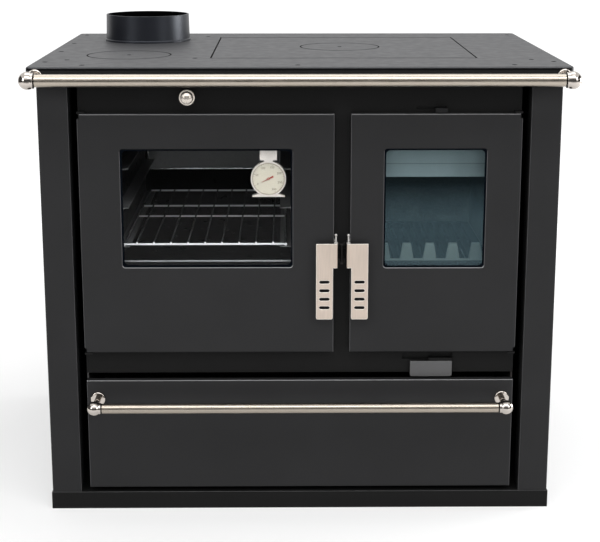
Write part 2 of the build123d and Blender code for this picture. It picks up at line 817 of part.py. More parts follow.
def hob_screw_set():
    """Countersunk screws flush with the hob plate."""
    made = []
    for x, y in hob_screws:
        head = Pos(x, y, hob_z - screw_head_t / 2) * Cone(screw_shank_r, screw_head_r, screw_head_t)
        shank = post(x, y, (under - screw_reach, hob_z - screw_head_t), screw_shank_r)
        drive = Pos(x, y, hob_z - drive_depth) * extrude(RegularPolygon(drive_r, 6), 2 * drive_depth)
        made.append(head + shank - drive)
    return group(*made)


def lid(at, z):
    """Round lift-off lid with a blind socket for the lifting tool."""
    disc = post(*at, z, lid_r)
    disc = chamfer(disc.edges().group_by(Axis.Z)[-1], 0.5)
    return disc - post(*at, (z[1] - 3.5, z[1] + 1), lift_hole_r)


lid_step = 6.0


def hob_insert():
    """Loose rectangular cast plate over the fire, with a stepped hole for its lid."""
    x = (insert_x[0] + insert_gap, insert_x[1] - insert_gap)
    y = (insert_y[0] + 0.4, insert_y[1] - insert_gap)
    shape = block(x, y, (hob_z - insert_t, hob_z))
    shape = fillet(shape.edges().filter_by(Axis.Z), 1.5)
    shape = chamfer(shape.edges().group_by(Axis.Z)[-1], 0.4)
    shape -= post(*right_lid_at, (hob_z - lid_step, hob_z + 1), lid_r + lid_gap)
    return shape - post(*right_lid_at, (hob_z - insert_t - 1, hob_z), lid_r - seat)


def right_lid():
    return lid(right_lid_at, (hob_z - lid_step + clear, hob_z))


def left_lid():
    return lid(left_lid_at, (hob_z - lid_t - hob_t / 2, hob_z))


# ---------------------------------------------------------------- front rail
def end_bracket(x, y, z, wall_y, post_x, ball_r, neck_r, ring_r, ring_x):
    """Rosette on the wall, a neck out to the rail, and a ball with a ring at the rail's end."""
    rosette = bar_along_y(post_x, (wall_y - rosette_t, wall_y), z, rosette_r)
    rosette = fillet(rosette.edges().group_by(Axis.Y)[0], rosette_t * 0.6)
    neck = bar_along_y(post_x, (y + 2.0, wall_y - rosette_t / 2), z, neck_r)
    ball = Pos(x, y, z) * Rot(0, 0, 180) * Sphere(ball_r)
    ring = bar_along_x((x, ring_x), y, z, ring_r)
    ring = fillet(ring.edges().group_by(Axis.X)[-1], 1.0)
    past_ring = bar_along_x((ring_x, x + 2 * ball_r), y, z, ball_r)
    return (rosette + neck) + (ball + ring - past_ring)


rail_cap = 10.2           # ball's centre to the tube's end
bar_cap = 11.4
rail_end = rail_ball_x - rail_cap
bar_end = bar_x - bar_cap


def front_rail_brackets():
    left = end_bracket(-rail_ball_x, rail_y, rail_z, apron_y, -rail_post_x, rail_ball_r,
                       rail_neck_r, rail_ring_r, -rail_end)
    return group(left, mirrored(left))


def front_rail():
    return bar_along_x((-rail_end, rail_end), rail_y, rail_z, rail_r)


# ---------------------------------------------------------------- drawer
def drawer_front():
    """Folded front panel of the wood drawer."""
    half = core_x - drawer_side
    y = (front, front + door_depth)
    z = (drawer_z, drawer_top)
    shape = block((-half, half), y, z)
    shape = fillet(shape.faces().sort_by(Axis.Y)[0].edges(), door_edge_r)
    t = door_sheet
    return shape - block((-half + t, half - t), (front + door_skin, y[1] + 1), (z[0] + t, z[1] - t))


tray_x = core_in - tray_inset
tray_y = (front + door_depth, front + door_depth + tray_len)
tray_z = (runner_z + runner_t + clear, runner_z + runner_t + clear + tray_h)


ear_in = 8.0
ear_w = 18.0
ear_end = 20.0            # tray's top and bottom to the ears


def drawer_tray():
    """Open sheet box for the firewood."""
    shape = block((-tray_x, tray_x), tray_y, tray_z)
    inner_x = tray_x - pan_t
    inner_y = (tray_y[0] + pan_t, tray_y[1] - pan_t)
    shape -= block((-inner_x, inner_x), inner_y, (tray_z[0] + pan_t, tray_z[1] + 1))
    for side in (-1, 1):
        ear = sorted((side * (tray_x - ear_in), side * (tray_x - ear_in - ear_w)))
        shape += block(ear, (front + door_skin, tray_y[0]), (tray_z[0] + ear_end, tray_z[1] - ear_end))
    return shape


shelf_lap = 12.0          # tray resting on a runner
runner_gap = (2.0, 4.0)
runner_h = 30.0


def drawer_runners():
    """Angle strips on the carcass walls that the tray slides on."""
    x = (tray_x - shelf_lap, core_in)
    y = (behind + runner_gap[0], core_back_in - runner_gap[1])
    shelf = block(x, y, (runner_z, runner_z + runner_t))
    wall = block((core_in - runner_t, core_in), y, (runner_z, runner_z + runner_h))
    right = shelf + wall
    return group(mirrored(right), right)


def drawer_bar_brackets():
    left = end_bracket(-bar_x, bar_y, bar_z, front, -bar_x, bar_ball_r, bar_neck_r,
                       bar_ring_r, -bar_end)
    return group(left, mirrored(left))


def drawer_bar():
    return bar_along_x((-bar_end, bar_end), bar_y, bar_z, bar_r)


# ---------------------------------------------------------------- doors
notch_w = 4.0             # clearance notch at a door's hinge corners
notch_h = 8.0
tongue_z = (handle_z - 30.0, handle_z - 12.0)
tongue_relief = 3.0


def door_shell(x, hinge_side):
    """Folded outer pan of a door: skin, returned edges, hinge holes and corner notches."""
    t = door_sheet
    shape = block(x, (front, door_back), (door_z, door_top))
    shape = fillet(shape.faces().sort_by(Axis.Y)[0].edges(), door_edge_r)
    shape -= block((x[0] + t, x[1] - t), (front + door_skin, door_back + 1), (door_z + t, door_top - t))
    outer = x[0] if hinge_side < 0 else x[1]
    free = x[1] if hinge_side < 0 else x[0]
    pin_x = outer - hinge_side * hinge_inset
    shape -= post(pin_x, hinge_y, (door_z - 1, door_top + 1), hinge_pin_r + fit)
    corner = sorted((outer, outer - hinge_side * notch_w))
    for z in ((door_z - 1, door_z + notch_h), (door_top - notch_h, door_top + 1)):
        shape -= block(corner, (front - 1, door_back + 1), z)
    edge = sorted((free - hinge_side * 1.0, free + hinge_side * (t + 0.5)))
    relief = (tongue_z[0] - tongue_relief, tongue_z[1] + tongue_relief)
    return shape - block(edge, (front + door_skin, door_back + 1), relief)


def window_limits(x, margins, grow=0.0):
    """X and Z limits of a door's window, grown by a margin."""
    left, right, top, bottom = margins
    return (x[0] + left - grow, x[1] - right + grow), (door_z + bottom - grow, door_top - top + grow)


window_chamfer = 0.8
clamp_gap = 3.0           # window to the glass bars


def door_panel(x, margins, hinge_side):
    wx, wz = window_limits(x, margins)
    shape = door_shell(x, hinge_side)
    hole = upright_slab(wx, (front - 1, front + door_skin + 1), wz, window_r)
    shape -= hole
    rim = [e for e in shape.edges() if abs(e.center().Y - front) < 0.01
           and wx[0] - 1 < e.center().X < wx[1] + 1 and wz[0] - 1 < e.center().Z < wz[1] + 1]
    return chamfer(rim, window_chamfer)


def door_glass(x, margins):
    gx, gz = window_limits(x, margins, window_edge)
    return upright_slab(gx, (front + door_skin, front + door_skin + glass_t), gz, window_r)


def glass_bars(x, margins):
    """Two bars that clamp the glass, above and below the window."""
    wx, wz = window_limits(x, margins)
    y = (front + door_skin + glass_t, front + door_skin + glass_t + bar_t)
    across = (wx[0] - window_edge, wx[1] + window_edge)
    over = block(across, y, (wz[1] + clamp_gap, wz[1] + clamp_gap + bar_h))
    below = block(across, y, (wz[0] - clamp_gap - bar_h, wz[0] - clamp_gap))
    return group(over, below)


inner_y = (front + door_skin + glass_t + bar_t, door_back)


free_gap = 1.5            # inner frame to the door's free edge


def door_inner_frame(x, margins, hinge_side):
    """Inner sheet of a door, open at the window."""
    t = door_sheet
    left = x[0] + t + (0 if hinge_side < 0 else free_gap)
    right = x[1] - t - (0 if hinge_side > 0 else free_gap)
    shape = block((left, right), inner_y, (door_z + t, door_top - t))
    wx, wz = window_limits(x, margins, frame_margin)
    shape -= upright_slab(wx, (inner_y[0] - 1, inner_y[1] + 1), wz, window_r)
    outer = x[0] if hinge_side < 0 else x[1]
    corner = sorted((outer, outer - hinge_side * (notch_w + t)))
    for z in ((door_z, door_z + notch_h + t), (door_top - notch_h - t, door_top)):
        shape -= block(corner, (inner_y[0] - 1, inner_y[1] + 1), z)
    return shape


seal_gap = 3.0            # mouth to the rope
seal_r = seal_w + 6.0


def door_seal(mouth_x, mouth_z):
    """Flat rope seal round a mouth, on the back of the door."""
    near = seal_gap
    far = seal_gap + seal_w
    y = (door_back, door_back + seal_t)
    outer = upright_slab((mouth_x[0] - far, mouth_x[1] + far), y,
                         (mouth_z[0] - far, mouth_z[1] + far), seal_r)
    inner = upright_slab((mouth_x[0] - near, mouth_x[1] + near), (y[0] - 1, y[1] + 1),
                         (mouth_z[0] - near, mouth_z[1] + near), seal_r - seal_w)
    return outer - inner


# The handle pieces are drawn for the oven door and turned over the mullion for the fire door.
pin_x = mullion_x - handle_pin_off
pin_y = handle_y + knuckle_r
keeper_y = pin_y + tongue_len - keeper_r
knuckle_z = (handle_z - knuckle_h, handle_z)


def other_side(shape):
    return mirror(shape, about=Plane.YZ.offset(mullion_x))


ear_t = 2.5
ear_foot_t = 1.5
pin_over = 15.0           # pin's head above the handle
pin_under = 4.5
pin_head_r = 2.6


def handle_bracket():
    """Two small lugs on the door's free edge with the handle's fixed pin through them."""
    edge = oven_door_x[1]
    ear = (edge, pin_x + knuckle_r)
    head = knuckle_z[1] + pin_over
    shape = post(pin_x, pin_y, (knuckle_z[0] - pin_under, head), handle_pin_r)
    shape += Pos(pin_x, pin_y, head) * Sphere(pin_head_r)
    for low in (knuckle_z[0] - clear - ear_t, knuckle_z[1] + clear):
        shape += block(ear, (pin_y - knuckle_r, front + door_skin), (low, low + ear_t))
        foot_z = (low - ear_t, low + 2 * ear_t)
        shape += block((edge, edge + ear_foot_t), (front + door_skin, door_back - 1.0), foot_z)
    return shape


handle_corner_r = 3.0
first_slot = 20.6         # handle's lower end to its first slot
tongue_off = 0.4
tongue_gap = 0.5          # latch tongue to the keeper


def handle():
    """Plated lever with four slots, a rolled knuckle on the pin, and a latch tongue."""
    left = pin_x - knuckle_r - handle_gap - handle_w
    x = (left, pin_x)
    y = (handle_y, handle_y + handle_t)
    plate = block((left, left + handle_w), y, (handle_z - handle_h, handle_z))
    plate = fillet(edges_at(plate, Axis.Y, z=handle_z - handle_h), handle_corner_r)
    plate += block(x, y, knuckle_z)
    middle = (left + left + handle_w) / 2
    first = handle_z - handle_h + first_slot
    for i in range(slot_count):
        slot = Plane.XZ * SlotOverall(slot_w, slot_h)
        cut = extrude(slot, 3 * handle_t, both=True)
        plate -= Pos(middle, handle_y, first + i * slot_pitch) * cut
    shape = plate + post(pin_x, pin_y, knuckle_z, knuckle_r)
    near = pin_x + tongue_off
    tongue_y = (pin_y, pin_y + tongue_len)
    tongue = block((near, near + handle_t), tongue_y, tongue_z)
    nose = block((near, mullion_x - keeper_r - tongue_gap), (tongue_y[1] - handle_t, tongue_y[1]), tongue_z)
    pin_hole = post(pin_x, pin_y, (knuckle_z[0] - 1, knuckle_z[1] + 1), handle_pin_r + fit)
    return shape + tongue + nose - pin_hole


# ---------------------------------------------------------------- oven thermometer
dial_x = -53.4
dial_z = 589.3
dial_r = 30.0
rim_t = 2.2
case_y = (door_back + 0.6, door_back + 13.0)
case_edge_r = 1.0
recess_depth = 3.0
dial_depth = 2.2          # cup's rim to the printed face
needle_depth = (0.9, 1.5)
strap_t = 1.2
strap_lap = 4.0           # neck going into the cup
strap_w = 15.0
hook_w = 29.0
hook_h = 17.0
hook_drop = 21.0          # top of the window to the hook plate's lower edge
foot_w = 55.2
foot_h = 6.0
foot_edge = 1.6
foot_d = 10.0
arbor_r = 0.8


def thermometer_case():
    """Steel cup with a rolled rim, a strap with a hook plate, and a flared foot."""
    cup = bar_along_y(dial_x, case_y, dial_z, dial_r)
    cup = fillet(cup.edges().group_by(Axis.Y)[0], case_edge_r)
    recess = bar_along_y(dial_x, (case_y[0] - 1, case_y[0] + recess_depth), dial_z, dial_r - rim_t)
    plate_y = (door_back, door_back + strap_t)
    top = door_top - oven_window[2]
    strap_x = (dial_x - strap_w / 2, dial_x + strap_w / 2)
    plate_z = (top - hook_drop, top - hook_drop + hook_h)
    neck = block(strap_x, plate_y, (dial_z + dial_r - strap_lap, plate_z[0]))
    plate = block((dial_x - hook_w / 2, dial_x + hook_w / 2), plate_y, plate_z)
    strap = block(strap_x, plate_y, (plate_z[1], hook_z[1]))
    lip = block((strap_x[0] + 1, strap_x[1] - 1), hook_y, hook_z)
    foot_z = (dial_z - dial_r, dial_z - dial_r + foot_h)
    edge_z = foot_z[0] + foot_edge
    outline = Polyline(
        (dial_x - foot_w / 2, foot_z[0]), (dial_x + foot_w / 2, foot_z[0]), (dial_x + foot_w / 2, edge_z),
        (dial_x + strap_w, foot_z[1]), (dial_x - strap_w, foot_z[1]), (dial_x - foot_w / 2, edge_z),
        close=True,
    )
    foot = extrude(Plane.XZ * make_face(outline), -foot_d)
    foot = Pos(0, case_y[0] + 1.0 - foot.bounding_box().min.Y, -1.0) * foot
    return cup + neck + plate + strap + lip + foot - recess


def hang_slot(shape):
    """Slot in the oven door's inner frame that the thermometer's hook goes through."""
    x = (dial_x - strap_w / 2, dial_x + strap_w / 2)
    return shape - block(x, (inner_y[0] - 1, inner_y[1] + 1), (hook_z[0] - clear, hook_z[1] + 1.0))


hook_y = (inner_y[0], door_back + 0.5)
hook_z = (door_top - oven_window[2] + frame_margin + 1.5, door_top - oven_window[2] + frame_margin + 3.0)


def thermometer_dial():
    """Printed disc in the cup, with the arbor that the needle turns on."""
    y = (case_y[0] + dial_depth, case_y[0] + recess_depth)
    disc = bar_along_y(dial_x, y, dial_z, dial_r - rim_t - 0.1)
    return disc + bar_along_y(dial_x, (case_y[0] + 0.6, y[1]), dial_z, arbor_r)


needle_len = 18.0
needle_w = (1.4, 0.7)
needle_hub_r = 2.2
needle_low_end = 27.0     # degrees below level
tail_len = 10.0
tail_w = (1.8, 3.4)


def thermometer_needle():
    """Pointer and counterweight on a hub, drawn level and then turned to the low end of the scale."""
    y = [case_y[0] + depth for depth in needle_depth]
    root, tip = needle_w[0] / 2, needle_w[1] / 2
    hub = bar_along_y(0, y, 0, needle_hub_r)
    pointer = Polyline((0, -root), (0, root), (-needle_len, tip), (-needle_len, -tip), close=True)
    root, tip = tail_w[0] / 2, tail_w[1] / 2
    tail = Polyline((0, -root), (0, root), (tail_len, tip), (tail_len, -tip), close=True)
    for outline in (pointer, tail):
        blade = extrude(Plane.XZ * make_face(outline), y[1] - y[0])
        hub += Pos(0, y[0] - blade.bounding_box().min.Y, 0) * blade
    hub -= bar_along_y(0, (y[0] - 1, y[1] + 1), 0, arbor_r + fit)
    return Pos(dial_x, 0, dial_z) * Rot(0, -needle_low_end, 0) * hub


# ---------------------------------------------------------------- all pieces
oven_mouth_z = (oven_floor_z, oven_top_z)
left_casing = side_casing()
oven_bracket = handle_bracket()
oven_lever = handle()

parts = {
    "plinth": plinth(),
    "left_side_casing": left_casing,
    "right_side_casing": mirrored(left_casing),
    "rear_panel": rear_panel(),
    "rear_panel_screws": rear_screws(),
    "carcass_walls": carcass_walls(),
    "carcass_deck": carcass_deck(),
    "front_plate": front_plate(),
    "door_hinges": door_hinges(),
    "door_keeper": door_keeper(),
    "oven_box": oven_box(),
    "oven_runners": oven_runners(),
    "oven_rack": oven_rack(),
    "firebricks": firebricks(),
    "grate_frame": grate_frame(),
    "fire_grate": fire_grate(),
    "log_retainer": log_retainer(),
    "ash_compartment_floor": ash_floor(),
    "ash_pan": ash_pan(),
    "ash_pan_grip": ash_pan_grip(),
    "air_wash_duct": air_wash_duct(),
    "smoke_divider": smoke_divider(),
    "damper_flap": damper_flap(),
    "damper_rod": damper_rod(),
    "damper_knob": damper_knob(),
    "primary_air_slide": primary_air_slide(),
    "primary_air_tab": primary_air_tab(),
    "secondary_air_slide": secondary_air_slide(),
    "hob_plate": hob_plate(),
    "hob_apron": hob_apron(),
    "hob_ledges": hob_ledges(),
    "hob_screws": hob_screw_set(),
    "hob_insert": hob_insert(),
    "right_lid": right_lid(),
    "left_lid": left_lid(),
    "flue_collar": flue_collar(),
    "front_rail": front_rail(),
    "front_rail_brackets": front_rail_brackets(),
    "drawer_front": drawer_front(),
    "drawer_tray": drawer_tray(),
    "drawer_runners": drawer_runners(),
    "drawer_bar": drawer_bar(),
    "drawer_bar_brackets": drawer_bar_brackets(),
    "oven_door_panel": door_panel(oven_door_x, oven_window, -1),
    "oven_door_inner_frame": hang_slot(door_inner_frame(oven_door_x, oven_window, -1)),
    "oven_door_glass": door_glass(oven_door_x, oven_window),
    "oven_door_glass_bars": glass_bars(oven_door_x, oven_window),
    "oven_door_seal": door_seal((oven_x0, oven_x1), oven_mouth_z),
    "oven_handle_bracket": oven_bracket,
    "oven_handle": oven_lever,
    "thermometer_case": thermometer_case(),
    "thermometer_dial": thermometer_dial(),
    "thermometer_needle": thermometer_needle(),
    "fire_door_panel": door_panel(fire_door_x, fire_window, 1),
    "fire_door_inner_frame": door_inner_frame(fire_door_x, fire_window, 1),
    "fire_door_glass": door_glass(fire_door_x, fire_window),
    "fire_door_glass_bars": glass_bars(fire_door_x, fire_window),
    "fire_door_seal": door_seal((fire_x0, fire_x1), fire_mouth_z),
    "fire_handle_bracket": other_side(oven_bracket),
    "fire_handle": other_side(oven_lever),
}

os.makedirs("parts", exist_ok=True)
for name, shape in parts.items():
    export_step(shape, os.path.join("parts", name + ".step"))
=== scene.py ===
"""Finishes, small dressed pieces and studio for a wood cookstove."""

import math

import bmesh
import bpy
from bpy.props import FloatProperty, FloatVectorProperty, IntProperty, PointerProperty
from bpy.types import Operator, Panel, PropertyGroup
from mathutils import Matrix, Vector


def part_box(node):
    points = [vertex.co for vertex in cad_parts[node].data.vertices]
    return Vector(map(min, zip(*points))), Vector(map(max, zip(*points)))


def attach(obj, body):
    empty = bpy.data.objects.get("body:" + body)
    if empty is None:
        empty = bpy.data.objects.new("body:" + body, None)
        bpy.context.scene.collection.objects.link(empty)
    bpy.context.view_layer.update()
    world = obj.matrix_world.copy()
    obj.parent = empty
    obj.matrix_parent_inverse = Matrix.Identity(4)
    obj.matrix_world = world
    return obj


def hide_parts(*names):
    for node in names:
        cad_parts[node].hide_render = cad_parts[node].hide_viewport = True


bl_info = {
    "name": "Wood Cookstove Finishes",
    "version": (1, 0, 0),
    "blender": (4, 5, 0),
    "location": "View3D > Sidebar > Cookstove",
    "description": "Enamel, steel, nickel, firebrick, glass and studio for a wood cookstove",
    "category": "Object",
}

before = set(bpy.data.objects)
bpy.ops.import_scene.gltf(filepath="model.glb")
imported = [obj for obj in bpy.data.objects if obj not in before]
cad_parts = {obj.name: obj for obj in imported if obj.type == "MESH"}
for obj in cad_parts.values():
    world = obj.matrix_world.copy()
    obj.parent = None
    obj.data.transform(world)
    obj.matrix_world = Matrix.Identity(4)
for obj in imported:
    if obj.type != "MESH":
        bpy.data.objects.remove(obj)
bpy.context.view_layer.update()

ACROSS, DEPTH, UPWARD = range(3)  # the stove's axes, to its right, to its rear and up
WHITE = (1.0, 1.0, 1.0)
FULL_TURN = 2 * math.pi

# Places on the solids that the finishes follow, in metres.
COLLAR_BORE = 0.0772  # radius at which the collar's bore ends
PANE_LAP = 0.014  # how far a pane reaches behind the edge of its window
OVEN_WALL = 0.002  # sheet of the oven's liner
PANEL_SIDE = 0.007  # outside of the liner to the pressed panel in its back
PANEL_FOOT = 0.079  # underside of the liner to the panel's lower edge
PANEL_HEAD = 0.015  # top of the liner to the panel's upper edge
PANEL_FACE = 0.012  # rear of the liner to the panel's face
PANEL_CORNER = 0.009  # radius of the panel's corners
FOLD_HEIGHT = 0.609  # height of the folded line across the baffle plate
RETAINER_FOOT = 0.4405  # height below which the log retainer gets a painted shade
DARKER_ABOVE = 0.46  # height above which the bricks are darker
LEVER_PLATE = 0.0055  # front of a lever to the back of its plate
PIN_FOOT = 0.4398  # height of the rolled knuckles' lower ends on their pins
TUBE_RING = 0.0018  # how much of a tube's end its ring covers
DIAL_THICKNESS = 0.0008  # back of the dial to its printed face

# Turned damper knob, with its depths from the front.
KNOB_CROWN = 0.0133  # radius of the crown's sphere
KNOB_LIMB = math.radians(44)  # angle at which the crown gives way to its rounded edge
KNOB_EDGE = 0.0012  # radius of that edge
KNOB_GROOVE = 0.0145  # depth of the groove round the crown
KNOB_RING = 0.0024  # width of the flat ring outside the groove
KNOB_FACE = 0.012  # depth of the ring's face
KNOB_BACK = 0.016  # depth of the ring's back
KNOB_NECK = 0.0075  # radius of the neck
KNOB_BORE = 0.004  # radius of the bore for the rod
KNOB_SOCKET = 0.022  # depth of that bore's bottom

# Pointer and print of the thermometer.
POINTER_HUB = (0.0013, 0.0022)  # inner and outer radius of the pointer's ring
POINTER_ROOT = 0.002  # distance from the arbor at which its blade and tail begin
BLADE_WIDTHS = (0.0006, 0.00025)  # half widths of the blade at its root and tip
TAIL_WIDTHS = (0.0007, 0.0016)  # half widths of the tail at its root and end
PRINT_DEPTH = 0.00015  # half of the print's thickness, the rest being sunk in the dial
CIRCLE_WIDTH = 0.0003  # width of the printed circle
LONG_TICK = (0.0026, 0.0005)  # length and width of the ticks at the numbers
SHORT_TICK = (0.0014, 0.0003)  # length and width of the ticks between them
TICKS = 5  # ticks from one number to the next


def shade(red, green, blue):
    """A colour as a paint card gives it (0 to 255), in the linear values that the shaders take."""
    return tuple(
        v / 12.92 if v <= 0.04045 else ((v + 0.055) / 1.055) ** 2.4
        for v in (red / 255, green / 255, blue / 255)
    )


def toned(tint, factor):
    """The same tint, darker or lighter."""
    return tuple(min(1.0, c * factor) for c in tint)


def colour(name, description, red, green, blue):
    return FloatVectorProperty(
        name=name, description=description, subtype="COLOR", size=3, min=0, max=1,
        default=shade(red, green, blue),
    )


def share(name, description, default):
    return FloatProperty(
        name=name, description=description, subtype="FACTOR", min=0, max=1, default=default
    )


def length(name, description, default):
    return FloatProperty(
        name=name, description=description, subtype="DISTANCE", unit="LENGTH",
        min=0, default=default,
    )


def angle(name, description, degrees):
    return FloatProperty(
        name=name, description=description, subtype="ANGLE", default=math.radians(degrees)
    )


def power(name, description, default):
    return FloatProperty(name=name, description=description, unit="POWER", min=0, default=default)


def count(name, description, default):
    return IntProperty(name=name, description=description, default=default, min=1)


# ---------------------------------------------------------------- settings


class EnamelSettings(PropertyGroup):
    """Satin paint of the casing, doors and drawer, and the darker paint behind them."""

    casing: colour("Casing", "Satin black of the doors, drawer and pillars", 33, 33, 34)
    fascia: colour("Fascia", "Flat black of the plate behind the doors", 21, 21, 21)
    casing_roughness: share("Casing roughness", "How matt the satin paint is", 0.5)
    fascia_roughness: share("Fascia roughness", "How matt the flat paint is", 0.55)
    # Colour of the painted highlight laid on the sheet's upward folds in place of light from above.
    highlit: colour("Worn edge", "Paint rubbed smooth along the sheet's edges", 150, 150, 152)
    grain: length("Grain", "Size of the fine texture in the paint", 0.0011)
    edge: length("Edge", "Radius that softens the sheet's sharp edges", 0.0008)


class HobSettings(PropertyGroup):
    """Ground steel of the cooking plate."""

    steel: colour("Steel", "Blued grey of the ground plate", 66, 67, 69)
    dark: colour("Darkened steel", "Steel where heat and oil have darkened it", 57, 57, 59)
    rim: colour("Rim", "Black paint on the plate's folded rim", 24, 24, 25)
    # Dark line at the joints: baked oil, and a painted shade of the gaps between the plates.
    joint: colour("Joint", "Baked oil in the joints round the insert and lids", 10, 10, 10)
    joint_width: length("Joint width", "Width of the dark line each side of a joint", 0.0016)
    roughness: share("Roughness", "How matt the ground surface is", 0.5)
    collar: colour("Collar", "Paint of the flue collar", 16, 17, 21)


class BrightSettings(PropertyGroup):
    """Rails, handles, knob and other bright metal."""

    handle: colour("Handle", "Satin nickel of the two levers", 209, 194, 181)
    case: colour("Thermometer case", "Stamped steel of the thermometer", 228, 219, 211)
    nickel: colour("Nickel", "Warm brushed nickel of the rails", 176, 167, 155)
    plate: colour("Plate", "Plain plated steel of pins and rod", 205, 202, 198)
    tab: colour("Tab", "Dull steel of the lower air tab", 106, 106, 107)
    fittings: colour("Fittings", "Polished nickel of the balls and rosettes", 190, 183, 176)
    knob: colour("Knob", "Satin nickel of the damper knob", 212, 204, 194)
    keeper: colour("Keeper", "Darkened steel of the latch keeper", 46, 45, 44)
    # Painted shade on the latch tongue behind the levers and on the pins' lower ends.
    tongue: colour("Latch tongue", "Blackened steel behind the levers", 22, 22, 22)
    chrome: colour("Chrome", "Chromed wire of the rack", 120, 120, 123)


class OvenSettings(PropertyGroup):
    """Vitreous enamel inside the oven."""

    enamel: colour("Oven enamel", "Near-black enamel of the oven", 11, 11, 12)
    # Painted light: a lighter grey on the raised panel's face, which is the same enamel as the
    # rest.
    panel: colour("Panel", "Satin grey of the raised panel", 140, 140, 141)
    # Painted light: the ledges are the oven's enamel made light grey so they show.
    lit_ledge: colour("Ledges", "Dull grey of the rack ledges", 92, 92, 93)
    # Painted highlight on the pressed bead round the raised panel.
    bead_highlight: colour("Bead", "Bright worn bead round the raised panel", 238, 238, 239)
    # Painted highlight on the top of the lip at the front of the oven floor.
    lip_highlight: colour("Fold", "Enamel worn bright on the front lip", 150, 150, 152)
    lip_height: length("Lip height", "Height of the lip at the front of the floor", 0.0085)
    lip_depth: length("Lip depth", "Thickness of the rolled lip", 0.006)
    bead: length("Bead", "Radius of the bead round the raised panel", 0.0022)
    roughness: share("Roughness", "How dull the enamel has become", 0.3)


class FireboxSettings(PropertyGroup):
    """Brick, castings and sheet steel round the fire."""

    brick: colour("Brick", "Pale pressed brick", 150, 146, 138)
    # Brown-grey of real sooting on brick and iron; the same colour also paints shade on the log
    # retainer and along the baffle's fold.
    soot_and_shade: colour("Soot", "Brown-grey soot on brick and steel", 52, 49, 46)
    iron: colour("Iron", "Sooty casting of the grate", 28, 28, 28)
    teeth: colour("Log retainer", "Grey casting of the toothed log retainer", 114, 114, 109)
    sheet: colour("Sheet", "Bare sheet steel of the carcass", 78, 77, 77)
    baffle: colour("Baffle", "Light grey plate that leads the air over the glass", 160, 162, 164)
    pan: colour("Pan", "Galvanised sheet of the ash pan, dulled by ash", 74, 75, 76)


class GlassSettings(PropertyGroup):
    """Panes of the two doors."""

    oven_tint: colour("Oven pane", "Tint of the oven door's pane", 238, 240, 241)
    fire_tint: colour("Fire pane", "Blue-green tint of the fire door's coated pane", 212, 228, 231)
    print_ink: colour("Printed border", "Dark ink round the edge of each pane", 10, 14, 20)
    border: length("Border width", "Width of the border that shows inside the window", 0.0032)
    corner: length("Border corner", "Radius of the border's outer corners", 0.0105)


class RopeSettings(PropertyGroup):
    """Plaited glass-fibre rope of the door seals."""

    fibre: colour("Fibre", "Grey glass fibre of the rope", 104, 102, 98)
    width: length("Width", "Width of the flat rope", 0.010)
    corner: length("Corner", "Radius of the rope's middle line at the corners", 0.011)
    pitch: length("Pitch", "Length of one full crossing of the strands", 0.018)
    strands: IntProperty(
        name="Strands", description="Strands in the plait", default=3, min=3, max=3
    )


class DialSettings(PropertyGroup):
    """Face of the oven thermometer."""

    face: colour("Face", "Cream of the printed face", 206, 198, 180)
    # Painted shade of the case's rim on the edge of the face.
    rim: colour("Rim", "Browned edge of the printed face", 146, 134, 116)
    ink: colour("Ink", "Grey ink of the ticks and numbers", 92, 86, 80)
    pointer: colour("Pointer", "Red of the pointer and its tail", 168, 34, 27)
    radius: length("Radius", "Radius of the printed circle", 0.0262)
    number_height: length("Number height", "Height of the dial's numbers", 0.0038)
    blade: length("Blade", "Length of the pointer from the arbor", 0.0125)
    tail: length("Tail", "Length of the pointer's tail from the arbor", 0.0092)
    first_angle: angle("Zero", "Direction of the scale's zero, from the right and up", 207)
    sweep: angle("Sweep", "Angle from the scale's zero to its end", 270)
    step: count("Step", "Degrees Celsius between numbers", 50)
    numbers: count("Numbers", "Numbers after the zero", 6)


class StudioSettings(PropertyGroup):
    """Floor, lamps and camera."""

    backdrop: colour("Backdrop", "Colour of the floor", 178, 178, 178)
    key: power("Key", "Power of the overhead softbox", 44.0)
    fill: power("Fill", "Power of each front softbox", 24.0)
    ambient: share("Ambient", "Strength of the white room for diffuse light", 0.45)
    front: power("Front", "Power of the softbox over the camera", 13.0)
    near_glow: share("Near glow", "White that is seen on the floor near the stove", 0.5)
    far_glow: share("Far glow", "White that is seen on the floor far from the stove", 0.92)
    near_card: share("Near card", "Brightness of the floor card's near end", 0.97)
    far_card: share("Far card", "Brightness of the floor card's far end", 0.13)
    lens: FloatProperty(
        name="Lens", description="Focal length", subtype="DISTANCE_CAMERA", default=84.06
    )
    tilt: angle("Tilt", "Angle of the camera from straight down", 77.11)
    turn: angle("Turn", "Camera's turn about the vertical", -0.56)


class StoveSettings(PropertyGroup):
    """All settings of the cookstove's finishes."""

    enamel: PointerProperty(type=EnamelSettings)
    hob: PointerProperty(type=HobSettings)
    bright: PointerProperty(type=BrightSettings)
    oven: PointerProperty(type=OvenSettings)
    firebox: PointerProperty(type=FireboxSettings)
    glass: PointerProperty(type=GlassSettings)
    rope: PointerProperty(type=RopeSettings)
    dial: PointerProperty(type=DialSettings)
    studio: PointerProperty(type=StudioSettings)


# ---------------------------------------------------------------- finishes


